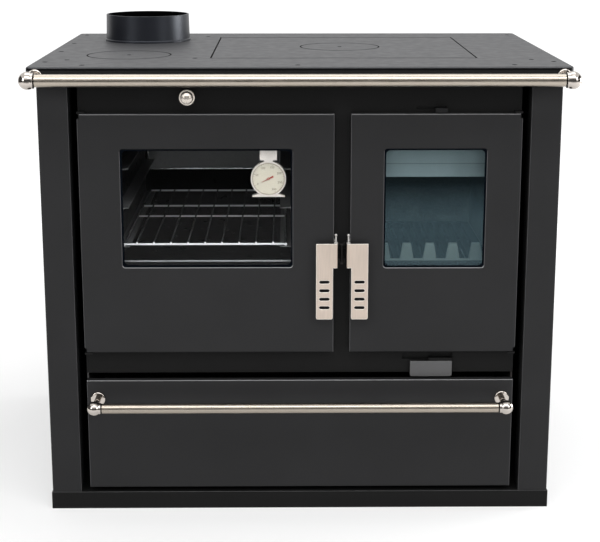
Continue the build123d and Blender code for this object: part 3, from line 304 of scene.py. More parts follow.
class Nodes:
    """A node tree, and short ways to add to it."""

    def __init__(self, tree):
        self.tree = tree

    def node(self, kind, links=None, **values):
        made = self.tree.nodes.new(kind)
        for key, value in values.items():
            setattr(made, key, value)
        for socket, source in (links or {}).items():
            self.feed(made.inputs[socket], source)
        return made

    def feed(self, socket, source):
        if isinstance(source, bpy.types.NodeSocket):
            self.tree.links.new(source, socket)
        elif hasattr(source, "__len__") and len(socket.default_value) > len(source):
            socket.default_value = (*source, 1.0)
        else:
            socket.default_value = source

    def sum(self, operation, first, second=0.0):
        return self.node("ShaderNodeMath", {0: first, 1: second}, operation=operation).outputs[0]

    def spread(self, source, low, high, start=0.3, end=0.7):
        """Low up to the start and high from the end on; noise lies between the usual two."""
        links = {"Value": source, "From Min": start, "From Max": end, "To Min": low, "To Max": high}
        return self.node("ShaderNodeMapRange", links).outputs["Result"]

    def rise(self, source, start, end):
        return self.spread(source, 0.0, 1.0, start, end)

    def fall(self, source, start, end):
        return self.spread(source, 1.0, 0.0, start, end)

    def apart(self, value, middle):
        return self.sum("ABSOLUTE", self.sum("SUBTRACT", value, middle))

    def hypotenuse(self, first, second):
        squares = (self.sum("POWER", side, 2.0) for side in (first, second))
        return self.sum("SQRT", self.sum("ADD", *squares))

    def blend(self, amount, first, second):
        links = {0: amount, 6: first, 7: second}
        return self.node("ShaderNodeMix", links, data_type="RGBA").outputs[2]

    def mixed(self, amount, first, second):
        links = {0: amount, 2: first, 3: second}
        return self.node("ShaderNodeMix", links, data_type="FLOAT").outputs[0]

    def seen(self):
        """1 for what the camera sees, straight, mirrored or through glass, and 0 for light."""
        ray = self.node("ShaderNodeLightPath").outputs
        mirrored = self.sum("MAXIMUM", ray["Is Glossy Ray"], ray["Is Transmission Ray"])
        return self.sum("MAXIMUM", ray["Is Camera Ray"], mirrored)


class Finish(Nodes):
    """One material and the node tree behind it."""

    def __init__(self, name, **sockets):
        self.material = bpy.data.materials.new(name)
        self.material.use_nodes = True
        super().__init__(self.material.node_tree)
        self.shader = self.tree.nodes["Principled BSDF"]
        for socket, value in sockets.items():
            self.join(value, socket.replace("_", " "))

    def join(self, source, socket):
        self.feed(self.shader.inputs[socket], source)

    def overlay(self, mask, over):
        """Lays another colour over the finish where the mask is 1."""
        under = self.shader.inputs["Base Color"].links[0].from_socket
        self.join(self.blend(mask, under, over), "Base Color")

    def surface(self, shader):
        end = self.tree.nodes["Material Output"]
        self.tree.links.new(shader.outputs[0], end.inputs["Surface"])

    def noise(self, size, stretch=(1, 1, 1), detail=3.0, distortion=0.0):
        """Soft noise with features of about this size in metres."""
        where = self.node("ShaderNodeTexCoord").outputs["Object"]
        place = self.node("ShaderNodeMapping", {"Vector": where, "Scale": stretch})
        links = {
            "Vector": place.outputs["Vector"], "Scale": 1 / size,
            "Detail": detail, "Distortion": distortion,
        }
        return self.node("ShaderNodeTexNoise", links).outputs["Fac"]

    def bump(self, height, depth, edge=0.0, strength=1.0):
        """Relief of this depth in metres, with the sheet's edges rounded by the given radius."""
        links = {"Height": height, "Distance": depth, "Strength": strength}
        if edge:
            soft = self.node("ShaderNodeBevel", {"Radius": edge}, samples=4)
            links["Normal"] = soft.outputs["Normal"]
        self.join(self.node("ShaderNodeBump", links).outputs["Normal"], "Normal")

    def grain(self, first, second, size, depth=0.0, edge=0.0, strength=1.0, most=1.0, **noise):
        """Gives the finish two colours in a noise, and relief by the same noise."""
        grain = self.noise(size, **noise)
        self.join(self.blend(self.spread(grain, 0.0, most), first, second), "Base Color")
        if depth:
            self.bump(grain, depth, edge, strength)
        return grain

    def axes(self):
        """X, Y and Z of the point, in metres in the stove's frame."""
        where = self.node("ShaderNodeTexCoord").outputs["Object"]
        return tuple(self.node("ShaderNodeSeparateXYZ", {0: where}).outputs)

    def normal(self):
        """X, Y and Z of the surface's direction."""
        where = self.node("ShaderNodeTexCoord").outputs["Normal"]
        return tuple(self.node("ShaderNodeSeparateXYZ", {0: where}).outputs)

    def around(self, middle):
        """Distance from the front-to-rear line through the middle."""
        x, _, z = self.axes()
        return self.hypotenuse(self.apart(x, middle.x), self.apart(z, middle.z))

    def folds(self):
        """1 on the rounded folds between a sheet's square faces and 0 on its flats."""
        parts = [self.sum("ABSOLUTE", part) for part in self.normal()]
        most = self.sum("MAXIMUM", self.sum("MAXIMUM", parts[0], parts[1]), parts[2])
        return self.fall(most, 0.75, 0.96)

    def edges(self, radius):
        """1 on sharp outer and inner edges, fading to 0 within this distance of them."""
        soft = self.node("ShaderNodeBevel", {"Radius": radius}, samples=8).outputs["Normal"]
        true = self.node("ShaderNodeNewGeometry").outputs["Normal"]
        bend = self.node("ShaderNodeVectorMath", {0: soft, 1: true}, operation="DOT_PRODUCT")
        return self.fall(bend.outputs["Value"], 0.85, 0.99)

    def onto(self, *names):
        """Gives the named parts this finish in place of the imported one."""
        for name in names:
            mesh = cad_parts[name].data
            mesh.materials.clear()
            mesh.materials.append(self.material)


def brushed(
    name, base, roughness, along=ACROSS, metal=1.0, contrast=0.12, edge=0.0004, relief=0.6
):
    """Brushed metal: long fine streaks along one direction."""
    bright = Finish(name, Metallic=metal)
    lines = bright.grain(
        toned(base, 1 - contrast), toned(base, 1 + contrast / 2), 0.0009, 0.00004, edge, relief,
        stretch=tuple(0.03 if i == along else 1.0 for i in range(3)),
    )
    cloud = bright.noise(0.05, detail=2.0)
    bright.overlay(bright.spread(cloud, 0.0, 0.35), toned(base, 0.88))
    bright.join(bright.spread(lines, roughness * 0.8, roughness * 1.3), "Roughness")
    return bright


# ---------------------------------------------------------------- shapes


def rounded(distance, sides, corner):
    """Place on a rounded rectangle, this far round it, and the way outwards there."""
    bend = corner * math.pi / 2
    for quarter in range(4):
        run, out = sides[quarter % 2] - corner, sides[1 - quarter % 2]
        if distance <= 2 * run + bend or quarter == 3:
            break
        distance -= 2 * run + bend
    turned = max(0.0, distance - 2 * run) / corner
    way = Vector((math.sin(turned), math.cos(turned)))
    place = Vector((min(distance, 2 * run) - run, out - corner)) + corner * way
    back = Matrix.Rotation(-quarter * math.pi / 2, 2)
    return back @ place, back @ way


def round_length(sides, corner):
    """Length of the way round a rounded rectangle."""
    return 4 * sum(side - corner for side in sides) + FULL_TURN * corner


def arc(start, radius, first, last, steps):
    """Points of an arc that turns from facing the front to facing outwards."""
    points = []
    for i in range(1, steps + 1):
        turn = first + (last - first) * i / steps
        out = radius * (math.sin(turn) - math.sin(first))
        back = radius * (math.cos(first) - math.cos(turn))
        points.append((start[0] + out, start[1] + back))
    return points


def spin(shape, points, edges, centre, steps):
    """Turns an outline once round an axis that runs from front to rear."""
    bmesh.ops.spin(
        shape, geom=points + edges, cent=centre, axis=(0, 1, 0), angle=FULL_TURN,
        steps=steps, use_merge=True,
    )


def solid(name, shape):
    """Mesh made from a finished shape."""
    mesh = bpy.data.meshes.new(name)
    shape.to_mesh(mesh)
    shape.free()
    return mesh


def cords(name, lines, radius, facets):
    """Mesh of closed round cords, each with one of these lines as its middle."""
    curve = bpy.data.curves.new(name, "CURVE")
    curve.dimensions = "3D"
    curve.bevel_depth = radius
    curve.bevel_resolution = facets
    for places in lines:
        line = curve.splines.new("POLY")
        line.points.add(len(places) - 1)
        line.use_cyclic_u = True
        for point, place in zip(line.points, places):
            point.co = (*place, 1.0)
    drawn = bpy.data.objects.new(name + "_line", curve)
    mesh = bpy.data.meshes.new_from_object(drawn)
    bpy.data.objects.remove(drawn)
    mesh.shade_smooth()
    return mesh


def placed(name, data, finish=None):
    """New object in the scene."""
    if finish:
        data.materials.clear()
        data.materials.append(finish.material)
    made = bpy.data.objects.new(name, data)
    bpy.context.scene.collection.objects.link(made)
    return made


# ---------------------------------------------------------------- enamel


def paint(wish, name, base, roughness, shine, highlight_share=1.0):
    """Stove paint: leathery grain, slight clouds, and a painted highlight on folds that face up."""
    paint = Finish(name, Specular_IOR_Level=shine)
    cloud = paint.spread(paint.noise(0.09), 0.0, 1.0)
    fine = paint.grain(
        paint.blend(cloud, toned(base, 0.92), toned(base, 1.08)), toned(base, 1.5),
        wish.grain, 0.00006, wish.edge, most=0.22, detail=2.0,
    )
    # Painted highlight on the folds that face up, standing in for light from above.
    upward = paint.rise(paint.normal()[UPWARD], -0.3, 0.6)
    highlighted = paint.sum("MULTIPLY", paint.folds(), upward)
    paint.overlay(highlighted, toned(wish.highlit, highlight_share))
    matt = paint.spread(fine, roughness - 0.06, roughness + 0.08)
    paint.join(paint.mixed(highlighted, matt, 0.3), "Roughness")
    return paint


class STOVE_OT_enamel(Operator):
    """Paint the casing, doors, drawer and front plate"""

    bl_idname = "stove.enamel"
    bl_label = "Casing Enamel"

    def execute(self, context):
        wish = context.scene.stove.enamel
        matt = wish.casing_roughness
        paint(wish, "satin_black_enamel", wish.casing, matt, 0.22).onto(
            "left_side_casing", "right_side_casing", "rear_panel", "drawer_front",
            "oven_door_panel", "fire_door_panel",
        )
        # The slide takes the casing paint made darker, with the painted highlight on its upward
        # folds.
        paint(wish, "dark_slide_paint_painted_highlight", toned(wish.casing, 0.7), matt, 0.12).onto(
            "secondary_air_slide"
        )
        # Flat black paint of the plate behind the doors and its fittings; the plinth takes it too
        # as a painted shade, darker than the casing.
        paint(wish, "flat_black_paint_and_plinth_shade", wish.fascia, wish.fascia_roughness, 0.12, 0.35).onto(
            "plinth", "front_plate", "door_hinges", "primary_air_slide", "hob_apron",
            "oven_door_inner_frame", "fire_door_inner_frame",
        )
        return {"FINISHED"}


# ---------------------------------------------------------------- hob


def collar_paint(tint):
    """Smooth paint outside, and a bore painted black: sooty, and a painted shade of the dark hole.
    """
    collar = Finish("collar_paint", Specular_IOR_Level=0.4, Specular_Tint=(0.82, 0.88, 1.0))
    collar.grain(tint, toned(tint, 1.5), 0.0022, 0.0001, 0.0008, 0.5, detail=5.0)
    low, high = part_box("flue_collar")
    middle = (low + high) / 2
    x, y, _ = collar.axes()
    out = collar.hypotenuse(collar.apart(x, middle.x), collar.apart(y, middle.y))
    # The bore is painted black and non-reflective: partly sooty, partly a painted shade of the
    # hole.
    bore = collar.fall(out, COLLAR_BORE, COLLAR_BORE + 0.0004)
    collar.overlay(bore, shade(9, 9, 9))
    collar.join(collar.mixed(bore, 0.38, 0.95), "Roughness")
    collar.join(bore, "Metallic")
    return collar


def hob_joints(plate, width):
    """1 close to the joints round the insert and the two lids, and 0 away from them."""
    x, y, _ = plate.axes()
    found = 0.0
    for name in ("hob_insert", "left_lid", "right_lid"):
        low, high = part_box(name)
        middle, half = (low + high) / 2, (high - low) / 2
        off_x, off_y = plate.apart(x, middle.x), plate.apart(y, middle.y)
        if name == "hob_insert":
            past_y = plate.sum("MULTIPLY", plate.sum("SUBTRACT", off_y, half.y), 0.5)
            past = plate.sum("MAXIMUM", plate.sum("SUBTRACT", off_x, half.x), past_y)
        else:
            past = plate.sum("SUBTRACT", plate.hypotenuse(off_x, off_y), half.x)
            past = plate.sum("MULTIPLY", past, plate.spread(off_y, 1.0, 0.5, 0.0, half.y))
        near = plate.fall(plate.sum("ABSOLUTE", past), width * 0.6, width)
        found = plate.sum("MAXIMUM", found, near)
    return found


def hob_steel(wish):
    """Ground steel: belt lines, clouds from the heat, dark joints of baked oil and painted gap
    shade, and a painted rim.
    """
    plate = Finish("ground_hob_steel", Specular_IOR_Level=0.35)
    plate.grain(
        wish.dark, wish.steel, 0.0012, 0.00004, 0.0008, 0.5, stretch=(0.02, 1.0, 1.0), detail=4.0
    )
    mottle = plate.noise(0.02, detail=6.0, distortion=0.3)
    plate.overlay(plate.spread(mottle, 0.0, 0.2), toned(wish.steel, 1.2))
    plate.overlay(plate.spread(plate.noise(0.16, detail=2.0), 0.0, 0.3), wish.dark)
    # Dark band each side of the joints: baked oil, and a painted shade of the gaps.
    joint = hob_joints(plate, wish.joint_width)
    plate.overlay(joint, wish.joint)
    rim = plate.fall(plate.normal()[UPWARD], 0.2, 0.5)
    plate.overlay(rim, wish.rim)
    matt = plate.spread(mottle, wish.roughness - 0.04, wish.roughness + 0.06)
    plate.join(plate.mixed(joint, matt, 0.9), "Roughness")
    plate.join(plate.mixed(rim, plate.mixed(joint, 0.3, 1.0), 1.0), "Metallic")
    return plate


class STOVE_OT_hob(Operator):
    """Grind the cooking plate, its insert and lids, and paint the flue collar"""

    bl_idname = "stove.hob"
    bl_label = "Hob Steel"

    def execute(self, context):
        wish = context.scene.stove.hob
        hob_steel(wish).onto("hob_plate", "hob_insert", "right_lid", "left_lid")
        screw = Finish("blackened_screw", Roughness=0.8, Specular_IOR_Level=0.0)
        screw.grain(shade(8, 8, 8), shade(26, 26, 27), 0.0006, 0.00003, detail=2.0)
        screw.onto("hob_screws", "rear_panel_screws")
        collar_paint(wish.collar).onto("flue_collar")
        return {"FINISHED"}


# ---------------------------------------------------------------- bright metal


def tube(name, tint, node):
    """Brushed tube with a painted shade line where each end enters its ring."""
    bar = brushed(name, tint, 0.28)
    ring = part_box(node)[1].x - TUBE_RING
    end = bar.sum("ABSOLUTE", bar.axes()[ACROSS])
    # Painted shade: a dark line in the crevice where the tube meets its ring.
    bar.overlay(bar.rise(end, ring - 0.0003, ring), shade(30, 28, 26))
    bar.onto(node)


def lever_nickel(tint, dark):
    """Satin nickel with a painted highlight along its edges, and a painted shade on the latch
    tongue behind.
    """
    lever = brushed("brushed_handle", tint, 0.4, UPWARD, 0.6, 0.1, 0.0016)
    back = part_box("oven_handle")[0].y + LEVER_PLATE
    # Painted shade: the latch tongue behind the lever plate is made dark and fully metallic so it
    # shows no reflection.
    tongue = lever.rise(lever.axes()[DEPTH], back, back + 0.0005)
    # Painted highlight: a light band along the lever's edges.
    lever.overlay(lever.edges(0.0022), shade(250, 245, 238))
    lever.overlay(tongue, dark)
    lever.join(lever.mixed(tongue, 0.6, 1.0), "Metallic")
    return lever


def knob(tint):
    """Turned damper knob: a crowned button in a flat ring, on its neck, bored for the rod."""
    low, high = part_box("damper_knob")
    middle = (low + high) / 2
    radius = (high.x - low.x) / 2
    depth = high.y - low.y
    outline = [(0.0, 0.0)]
    outline += arc(outline[-1], KNOB_CROWN, 0.0, KNOB_LIMB, 8)
    outline += arc(outline[-1], KNOB_EDGE, KNOB_LIMB, math.pi / 2, 4)
    side = outline[-1][0]
    ring = radius - KNOB_RING
    outline += [
        (side, KNOB_GROOVE), (ring, KNOB_GROOVE),
        (ring, KNOB_FACE + 0.0002), (ring + 0.0002, KNOB_FACE),
        (radius - 0.0006, KNOB_FACE), (radius, KNOB_FACE + 0.0007),
        (radius, KNOB_BACK), (KNOB_NECK, KNOB_BACK), (KNOB_NECK, depth),
        (KNOB_BORE, depth), (KNOB_BORE, KNOB_SOCKET), (0.0, KNOB_SOCKET),
    ]
    shape = bmesh.new()
    points = [shape.verts.new((middle.x + out, low.y + back, middle.z)) for out, back in outline]
    edges = [shape.edges.new(pair) for pair in zip(points, points[1:])]
    spin(shape, points, edges, middle, 64)
    bmesh.ops.remove_doubles(shape, verts=shape.verts, dist=0.000001)
    bmesh.ops.recalc_face_normals(shape, faces=shape.faces)
    mesh = solid("turned_damper_knob", shape)
    mesh.shade_smooth()
    mesh.set_sharp_from_angle(angle=math.radians(40))

    satin = brushed("satin_knob", tint, 0.26, DEPTH, 0.55, 0.04, 0.0)
    out = satin.around(middle)
    # Painted shade in the groove round the crown, and a painted highlight on the flat ring outside
    # it.
    groove = satin.rise(out, side - 0.0003, side)
    satin.overlay(groove, shade(48, 43, 38))
    satin.overlay(satin.rise(out, ring - 0.0002, ring), toned(tint, 1.5))
    satin.join(satin.mixed(groove, 0.7, 0.1), "Metallic")
    made = placed("turned_damper_knob", mesh, satin)
    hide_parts("damper_knob")
    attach(made, "damper")


class STOVE_OT_bright_metal(Operator):
    """Brush the rails, handles and knob, and plate the pins, tab and rack"""

    bl_idname = "stove.bright_metal"
    bl_label = "Bright Metal"

    def execute(self, context):
        wish = context.scene.stove.bright
        tube("brushed_rail", wish.nickel, "front_rail")
        # The drawer bar takes the rail's nickel made darker, a painted shade.
        tube("shaded_brushed_bar", toned(wish.nickel, 0.92), "drawer_bar")
        brushed(
            "polished_fittings", wish.fittings, 0.09, contrast=0.03, edge=0.0, relief=0.0
        ).onto("front_rail_brackets", "drawer_bar_brackets")
        knob(wish.knob)
        lever_nickel(wish.handle, wish.tongue).onto("oven_handle", "fire_handle")
        pins = brushed("plated_steel", wish.plate, 0.28, UPWARD, contrast=0.06)
        # Painted shade on the pins' lower ends below the knuckles.
        shaded_pin_end = pins.fall(pins.axes()[UPWARD], PIN_FOOT - 0.0002, PIN_FOOT)
        pins.overlay(shaded_pin_end, wish.tongue)
        pins.onto("oven_handle_bracket", "fire_handle_bracket")
        brushed("plated_rod", wish.plate, 0.28, DEPTH, contrast=0.06).onto("damper_rod")
        case = brushed("stamped_case", wish.case, 0.35, metal=0.3, contrast=0.06)
        case.onto("thermometer_case")
        brushed("darkened_keeper", wish.keeper, 0.4, UPWARD, 0.8).onto("door_keeper")
        brushed("dull_tab", wish.tab, 0.45).onto("primary_air_tab")
        wire = brushed("chromed_wire", wish.chrome, 0.22, contrast=0.03, edge=0.0)
        # Painted highlight: faces that face the front are made white and non-metallic in place of
        # glints.
        front_highlight = wire.rise(wire.normal()[DEPTH], -0.45, -0.8)  # 1 on the ends that face the front
        wire.overlay(front_highlight, shade(235, 235, 236))
        wire.join(wire.mixed(front_highlight, 0.85, 0.0), "Metallic")
        wire.onto("oven_rack")
        return {"FINISHED"}


# ---------------------------------------------------------------- oven


def oven_enamel(wish):
    """Near-black enamel, with painted light on the raised panel's face in grey and painted shade on
    the wall behind it.
    """
    enamel = Finish("oven_enamel", Specular_IOR_Level=0.05)
    peel = enamel.noise(0.02, detail=1.0)
    speck = enamel.noise(0.003, detail=1.0)
    y = enamel.axes()[DEPTH]
    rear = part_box("oven_box")[1].y
    # Painted shade on the rear wall round and below the panel, and painted light on the panel's
    # face.
    back = enamel.rise(y, rear - OVEN_WALL - 0.0015, rear - OVEN_WALL - 0.0005)
    face = enamel.rise(y, rear - PANEL_FACE - 0.0008, rear - PANEL_FACE - 0.0002)
    raised = enamel.sum("SUBTRACT", face, back)
    enamel.join(enamel.blend(raised, wish.enamel, wish.panel), "Base Color")
    enamel.overlay(back, toned(wish.enamel, 0.25))
    enamel.overlay(enamel.spread(speck, 0.0, 0.12, 0.5, 0.75), toned(wish.enamel, 1.8))
    enamel.join(enamel.spread(peel, wish.roughness - 0.03, wish.roughness + 0.05), "Roughness")
    enamel.bump(peel, 0.00004, 0.0015, 0.15)
    return enamel


def lip(wish):
    """Folded lip with a rolled top, standing across the front of the oven floor."""
    low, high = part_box("oven_box")
    size = Vector((high.x - low.x - 2 * OVEN_WALL, wish.lip_depth, wish.lip_height))
    front = Vector(((low.x + high.x) / 2, low.y + OVEN_WALL, low.z + OVEN_WALL))
    place = front + Vector((0.0, size.y / 2, size.z / 2))
    shape = bmesh.new()
    bmesh.ops.create_cube(shape, size=1.0)
    bmesh.ops.scale(shape, vec=size, verts=shape.verts)
    bmesh.ops.translate(shape, vec=place, verts=shape.verts)
    top = [
        edge for edge in shape.edges
        if all(v.co.z > place.z for v in edge.verts) and edge.calc_length() > size.x / 2
    ]
    bmesh.ops.bevel(
        shape, geom=top, offset=wish.lip_depth * 0.45, segments=5, profile=0.5,
        affect="EDGES", material=-1,
    )
    rolled = Finish("lip_enamel", Roughness=wish.roughness + 0.05)
    rolled.grain(
        wish.lip_highlight, toned(wish.lip_highlight, 0.6), 0.01, 0.00005, strength=0.3, most=0.4,
        stretch=(0.1, 1.0, 1.0),
    )
    # Painted highlight: only the faces that face up keep the light colour; the rest is the oven's
    # enamel.
    rolled.overlay(rolled.fall(rolled.normal()[UPWARD], 0.15, 0.6), wish.enamel)
    made = placed("oven_front_lip", solid("oven_front_lip", shape), rolled)
    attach(made, "stove_body")


def bead(wish):
    """Rounded bead pressed round the edge of the raised panel in the oven's back."""
    low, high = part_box("oven_box")
    inset = wish.bead * 1.1
    sides = (
        (high.x - low.x) / 2 - PANEL_SIDE - inset,
        (high.z - PANEL_HEAD - low.z - PANEL_FOOT) / 2 - inset,
    )
    middle = (
        (low.x + high.x) / 2,
        high.y - PANEL_FACE + wish.bead / 3,
        low.z + PANEL_FOOT + inset + sides[1],
    )
    corner = PANEL_CORNER - inset
    around = round_length(sides, corner)
    steps = 720
    places = [rounded(around * i / steps, sides, corner)[0] for i in range(steps)]
    mesh = cords("oven_panel_bead", [[(place.x, 0.0, place.y) for place in places]], wish.bead, 2)
    mesh.transform(Matrix.Translation(middle))
    # Painted highlight: the bead is a bright, near-white metal so it shines as a light line.
    highlit = Finish("bead_enamel", Metallic=0.85, Roughness=0.22)
    white = wish.bead_highlight
    highlit.grain(white, toned(white, 0.6), 0.02, 0.00005, strength=0.3, most=0.15)
    made = placed("oven_panel_bead", mesh, highlit)
    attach(made, "stove_body")


class STOVE_OT_oven(Operator):
    """Enamel the oven box and its rack ledges"""

    bl_idname = "stove.oven"
    bl_label = "Oven Enamel"

    def execute(self, context):
        wish = context.scene.stove.oven
        oven_enamel(wish).onto("oven_box")
        # The ledges get a light grey as painted light.
        lit_ledge = Finish("ledge_enamel", Roughness=wish.roughness + 0.15)
        lit_ledge.grain(toned(wish.lit_ledge, 0.7), wish.lit_ledge, 0.012, 0.00005, 0.001)
        lit_ledge.onto("oven_runners")
        lip(wish)
        bead(wish)
        return {"FINISHED"}


# ---------------------------------------------------------------- firebox


def galvanised(grey):
    """Sheet with the zinc's crystals."""
    pan = Finish("galvanised_pan", Metallic=0.85, Roughness=0.45)
    where = pan.node("ShaderNodeTexCoord").outputs["Object"]
    crystal = pan.node("ShaderNodeTexVoronoi", {"Vector": where, "Scale": 90.0})
    flower = pan.node("ShaderNodeRGBToBW", {0: crystal.outputs["Color"]}).outputs[0]
    dust = pan.noise(0.03, detail=4.0)
    pan.join(pan.blend(dust, toned(grey, 0.8), grey), "Base Color")
    pan.overlay(pan.spread(flower, 0.0, 0.5, 0.2, 0.8), toned(grey, 0.62))
    return pan


class STOVE_OT_firebox(Operator):
    """Give the bricks, castings, ash pan and sheet steel their finishes"""

    bl_idname = "stove.firebox"
    bl_label = "Firebox"

    def execute(self, context):
        wish = context.scene.stove.firebox
        soot_and_shade = wish.soot_and_shade

        brick = Finish("pale_firebrick", Roughness=0.92, Specular_IOR_Level=0.2)
        brick.grain(
            toned(wish.brick, 0.7), toned(wish.brick, 1.15), 0.004, 0.0008, 0.002,
            detail=6.0, distortion=0.6,
        )
        brick.overlay(brick.spread(brick.noise(0.07), 0.05, 0.55), soot_and_shade)
        height = brick.axes()[UPWARD]
        # The bricks are made darker above this height.
        black = brick.spread(height, 0.0, 0.85, DARKER_ABOVE - 0.04, DARKER_ABOVE + 0.04)
        brick.overlay(black, toned(soot_and_shade, 0.15))
        brick.onto("firebricks")

        iron = Finish("ash_grey_casting", Roughness=0.9, Specular_IOR_Level=0.1)
        iron.grain(toned(wish.iron, 0.75), wish.iron, 0.0018, 0.0004, 0.0015, detail=5.0)
        iron.overlay(iron.spread(iron.noise(0.03), 0.0, 0.35), toned(soot_and_shade, 0.4))
        iron.onto("fire_grate")

        teeth = Finish("retainer_casting", Metallic=0.1, Roughness=0.75)
        teeth.grain(toned(wish.teeth, 0.8), wish.teeth, 0.0018, 0.0003, 0.0012, detail=5.0)
        # Painted shade on the log retainer's lower part, below the teeth.
        shaded_foot = teeth.fall(teeth.axes()[UPWARD], RETAINER_FOOT, RETAINER_FOOT + 0.001)
        teeth.overlay(shaded_foot, toned(soot_and_shade, 0.45))
        teeth.onto("log_retainer")

        baffle = Finish("baffle_plate", Metallic=0.15, Roughness=0.5)
        baffle.grain(
            wish.baffle, toned(wish.baffle, 0.78), 0.03, 0.0002, 0.001, most=0.4,
            stretch=(1.0, 1.0, 0.3), detail=4.0,
        )
        # Painted shade: a dark line along the fold across the plate.
        off = baffle.apart(baffle.axes()[UPWARD], FOLD_HEIGHT)
        baffle.overlay(baffle.spread(off, 0.45, 0.0, 0.0003, 0.0009), soot_and_shade)
        baffle.onto("air_wash_duct")

        sheet = Finish("bare_sheet_steel", Metallic=0.7)
        sheet.grain(
            toned(wish.sheet, 0.8), toned(wish.sheet, 1.15), 0.002, 0.00005, 0.0008,
            stretch=(1.0, 0.05, 1.0),
        )
        scale = sheet.noise(0.05, detail=5.0, distortion=0.5)
        sheet.overlay(sheet.spread(scale, 0.0, 0.6, 0.45, 0.65), shade(58, 52, 50))
        sheet.join(sheet.spread(scale, 0.4, 0.62), "Roughness")
        sheet.onto(
            "carcass_walls", "carcass_deck", "grate_frame", "ash_compartment_floor",
            "smoke_divider", "damper_flap", "hob_ledges", "drawer_tray", "drawer_runners",
            "oven_door_glass_bars", "fire_door_glass_bars",
        )
        galvanised(wish.pan).onto("ash_pan", "ash_pan_grip")
        return {"FINISHED"}


# ---------------------------------------------------------------- seals


def plait(name, node, body, wish, finish):
    """Flat plait round a door's mouth, as wide and thick as the seal's solid."""
    low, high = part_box(node)
    middle, half = (low + high) / 2, (high - low) / 2
    strand = wish.width * 0.133
    swing = wish.width / 2 - strand
    sides = (half.x - wish.width / 2, half.z - wish.width / 2)
    around = round_length(sides, wish.corner)
    turns = round(around / wish.pitch)
    steps = turns * 12
    lines = []
    for which in range(wish.strands):
        line = []
        for i in range(steps):
            place, out = rounded(around * i / steps, sides, wish.corner)
            phase = FULL_TURN * (turns * i / steps + which / wish.strands)
            spot = place + out * swing * math.sin(phase)
            line.append((spot.x, strand * math.sin(2 * phase), spot.y))
        lines.append(line)
    mesh = cords(name, lines, strand, 1)
    flat = Matrix.Diagonal((1.0, half.y / (2 * strand), 1.0, 1.0))
    mesh.transform(Matrix.Translation(middle) @ flat)
    rope = placed(name, mesh, finish)
    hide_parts(node)
    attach(rope, body)


class STOVE_OT_seals(Operator):
    """Plait the rope seals on the backs of both doors"""

    bl_idname = "stove.seals"
    bl_label = "Rope Seals"

    def execute(self, context):
        wish = context.scene.stove.rope
        rope = Finish("glass_rope", Roughness=0.9, Sheen_Weight=0.2)
        rope.grain(toned(wish.fibre, 0.55), toned(wish.fibre, 1.25), 0.0005, 0.0002)
        rope.overlay(rope.spread(rope.noise(0.05), 0.0, 0.6), toned(wish.fibre, 0.35))
        plait("oven_door_rope", "oven_door_seal", "oven_door", wish, rope)
        plait("fire_door_rope", "fire_door_seal", "fire_door", wish, rope)
        return {"FINISHED"}


# ---------------------------------------------------------------- glass


def pane(name, tint, node, wish, bending, gleam):
    """Clear glass with a dark printed border, which lets lamplight through into the stove."""
    glass = Finish(
        name, Base_Color=tint, IOR=bending, Transmission_Weight=1.0, Specular_Tint=gleam
    )
    glass.join(glass.spread(glass.noise(0.05), 0.0, 0.03, 0.5, 0.8), "Roughness")
    low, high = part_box(node)
    middle, half = (low + high) / 2, (high - low) / 2
    x, _, z = glass.axes()
    past = [
        glass.sum("SUBTRACT", glass.apart(axis, centre), reach - PANE_LAP)
        for axis, centre, reach in ((x, middle.x, half.x), (z, middle.z, half.z))
    ]
    bend = [glass.sum("MAXIMUM", glass.sum("ADD", over, wish.corner)) for over in past]
    rim = glass.sum("SUBTRACT", glass.hypotenuse(*bend), wish.corner)
    printed = glass.rise(rim, -wish.border, -wish.border + 0.0004)
    shadow = glass.node("ShaderNodeLightPath").outputs["Is Shadow Ray"]
    clear = glass.node("ShaderNodeBsdfTransparent", {"Color": tuple(c ** 0.5 for c in tint)})
    links = {0: shadow, 1: glass.shader.outputs[0], 2: clear.outputs[0]}
    plain = glass.node("ShaderNodeMixShader", links)
    ink = glass.node("ShaderNodeBsdfDiffuse", {"Color": wish.print_ink})
    links = {0: printed, 1: plain.outputs[0], 2: ink.outputs[0]}
    glass.surface(glass.node("ShaderNodeMixShader", links))
    glass.onto(node)


class STOVE_OT_glass(Operator):
    """Glaze both doors"""

    bl_idname = "stove.glass"
    bl_label = "Door Glass"

    def execute(self, context):
        wish = context.scene.stove.glass
        pane("oven_pane", wish.oven_tint, "oven_door_glass", wish, 1.15, WHITE)
        pane("fire_pane", wish.fire_tint, "fire_door_glass", wish, 1.5, (0.55, 0.85, 1.0))
        return {"FINISHED"}


# ---------------------------------------------------------------- thermometer


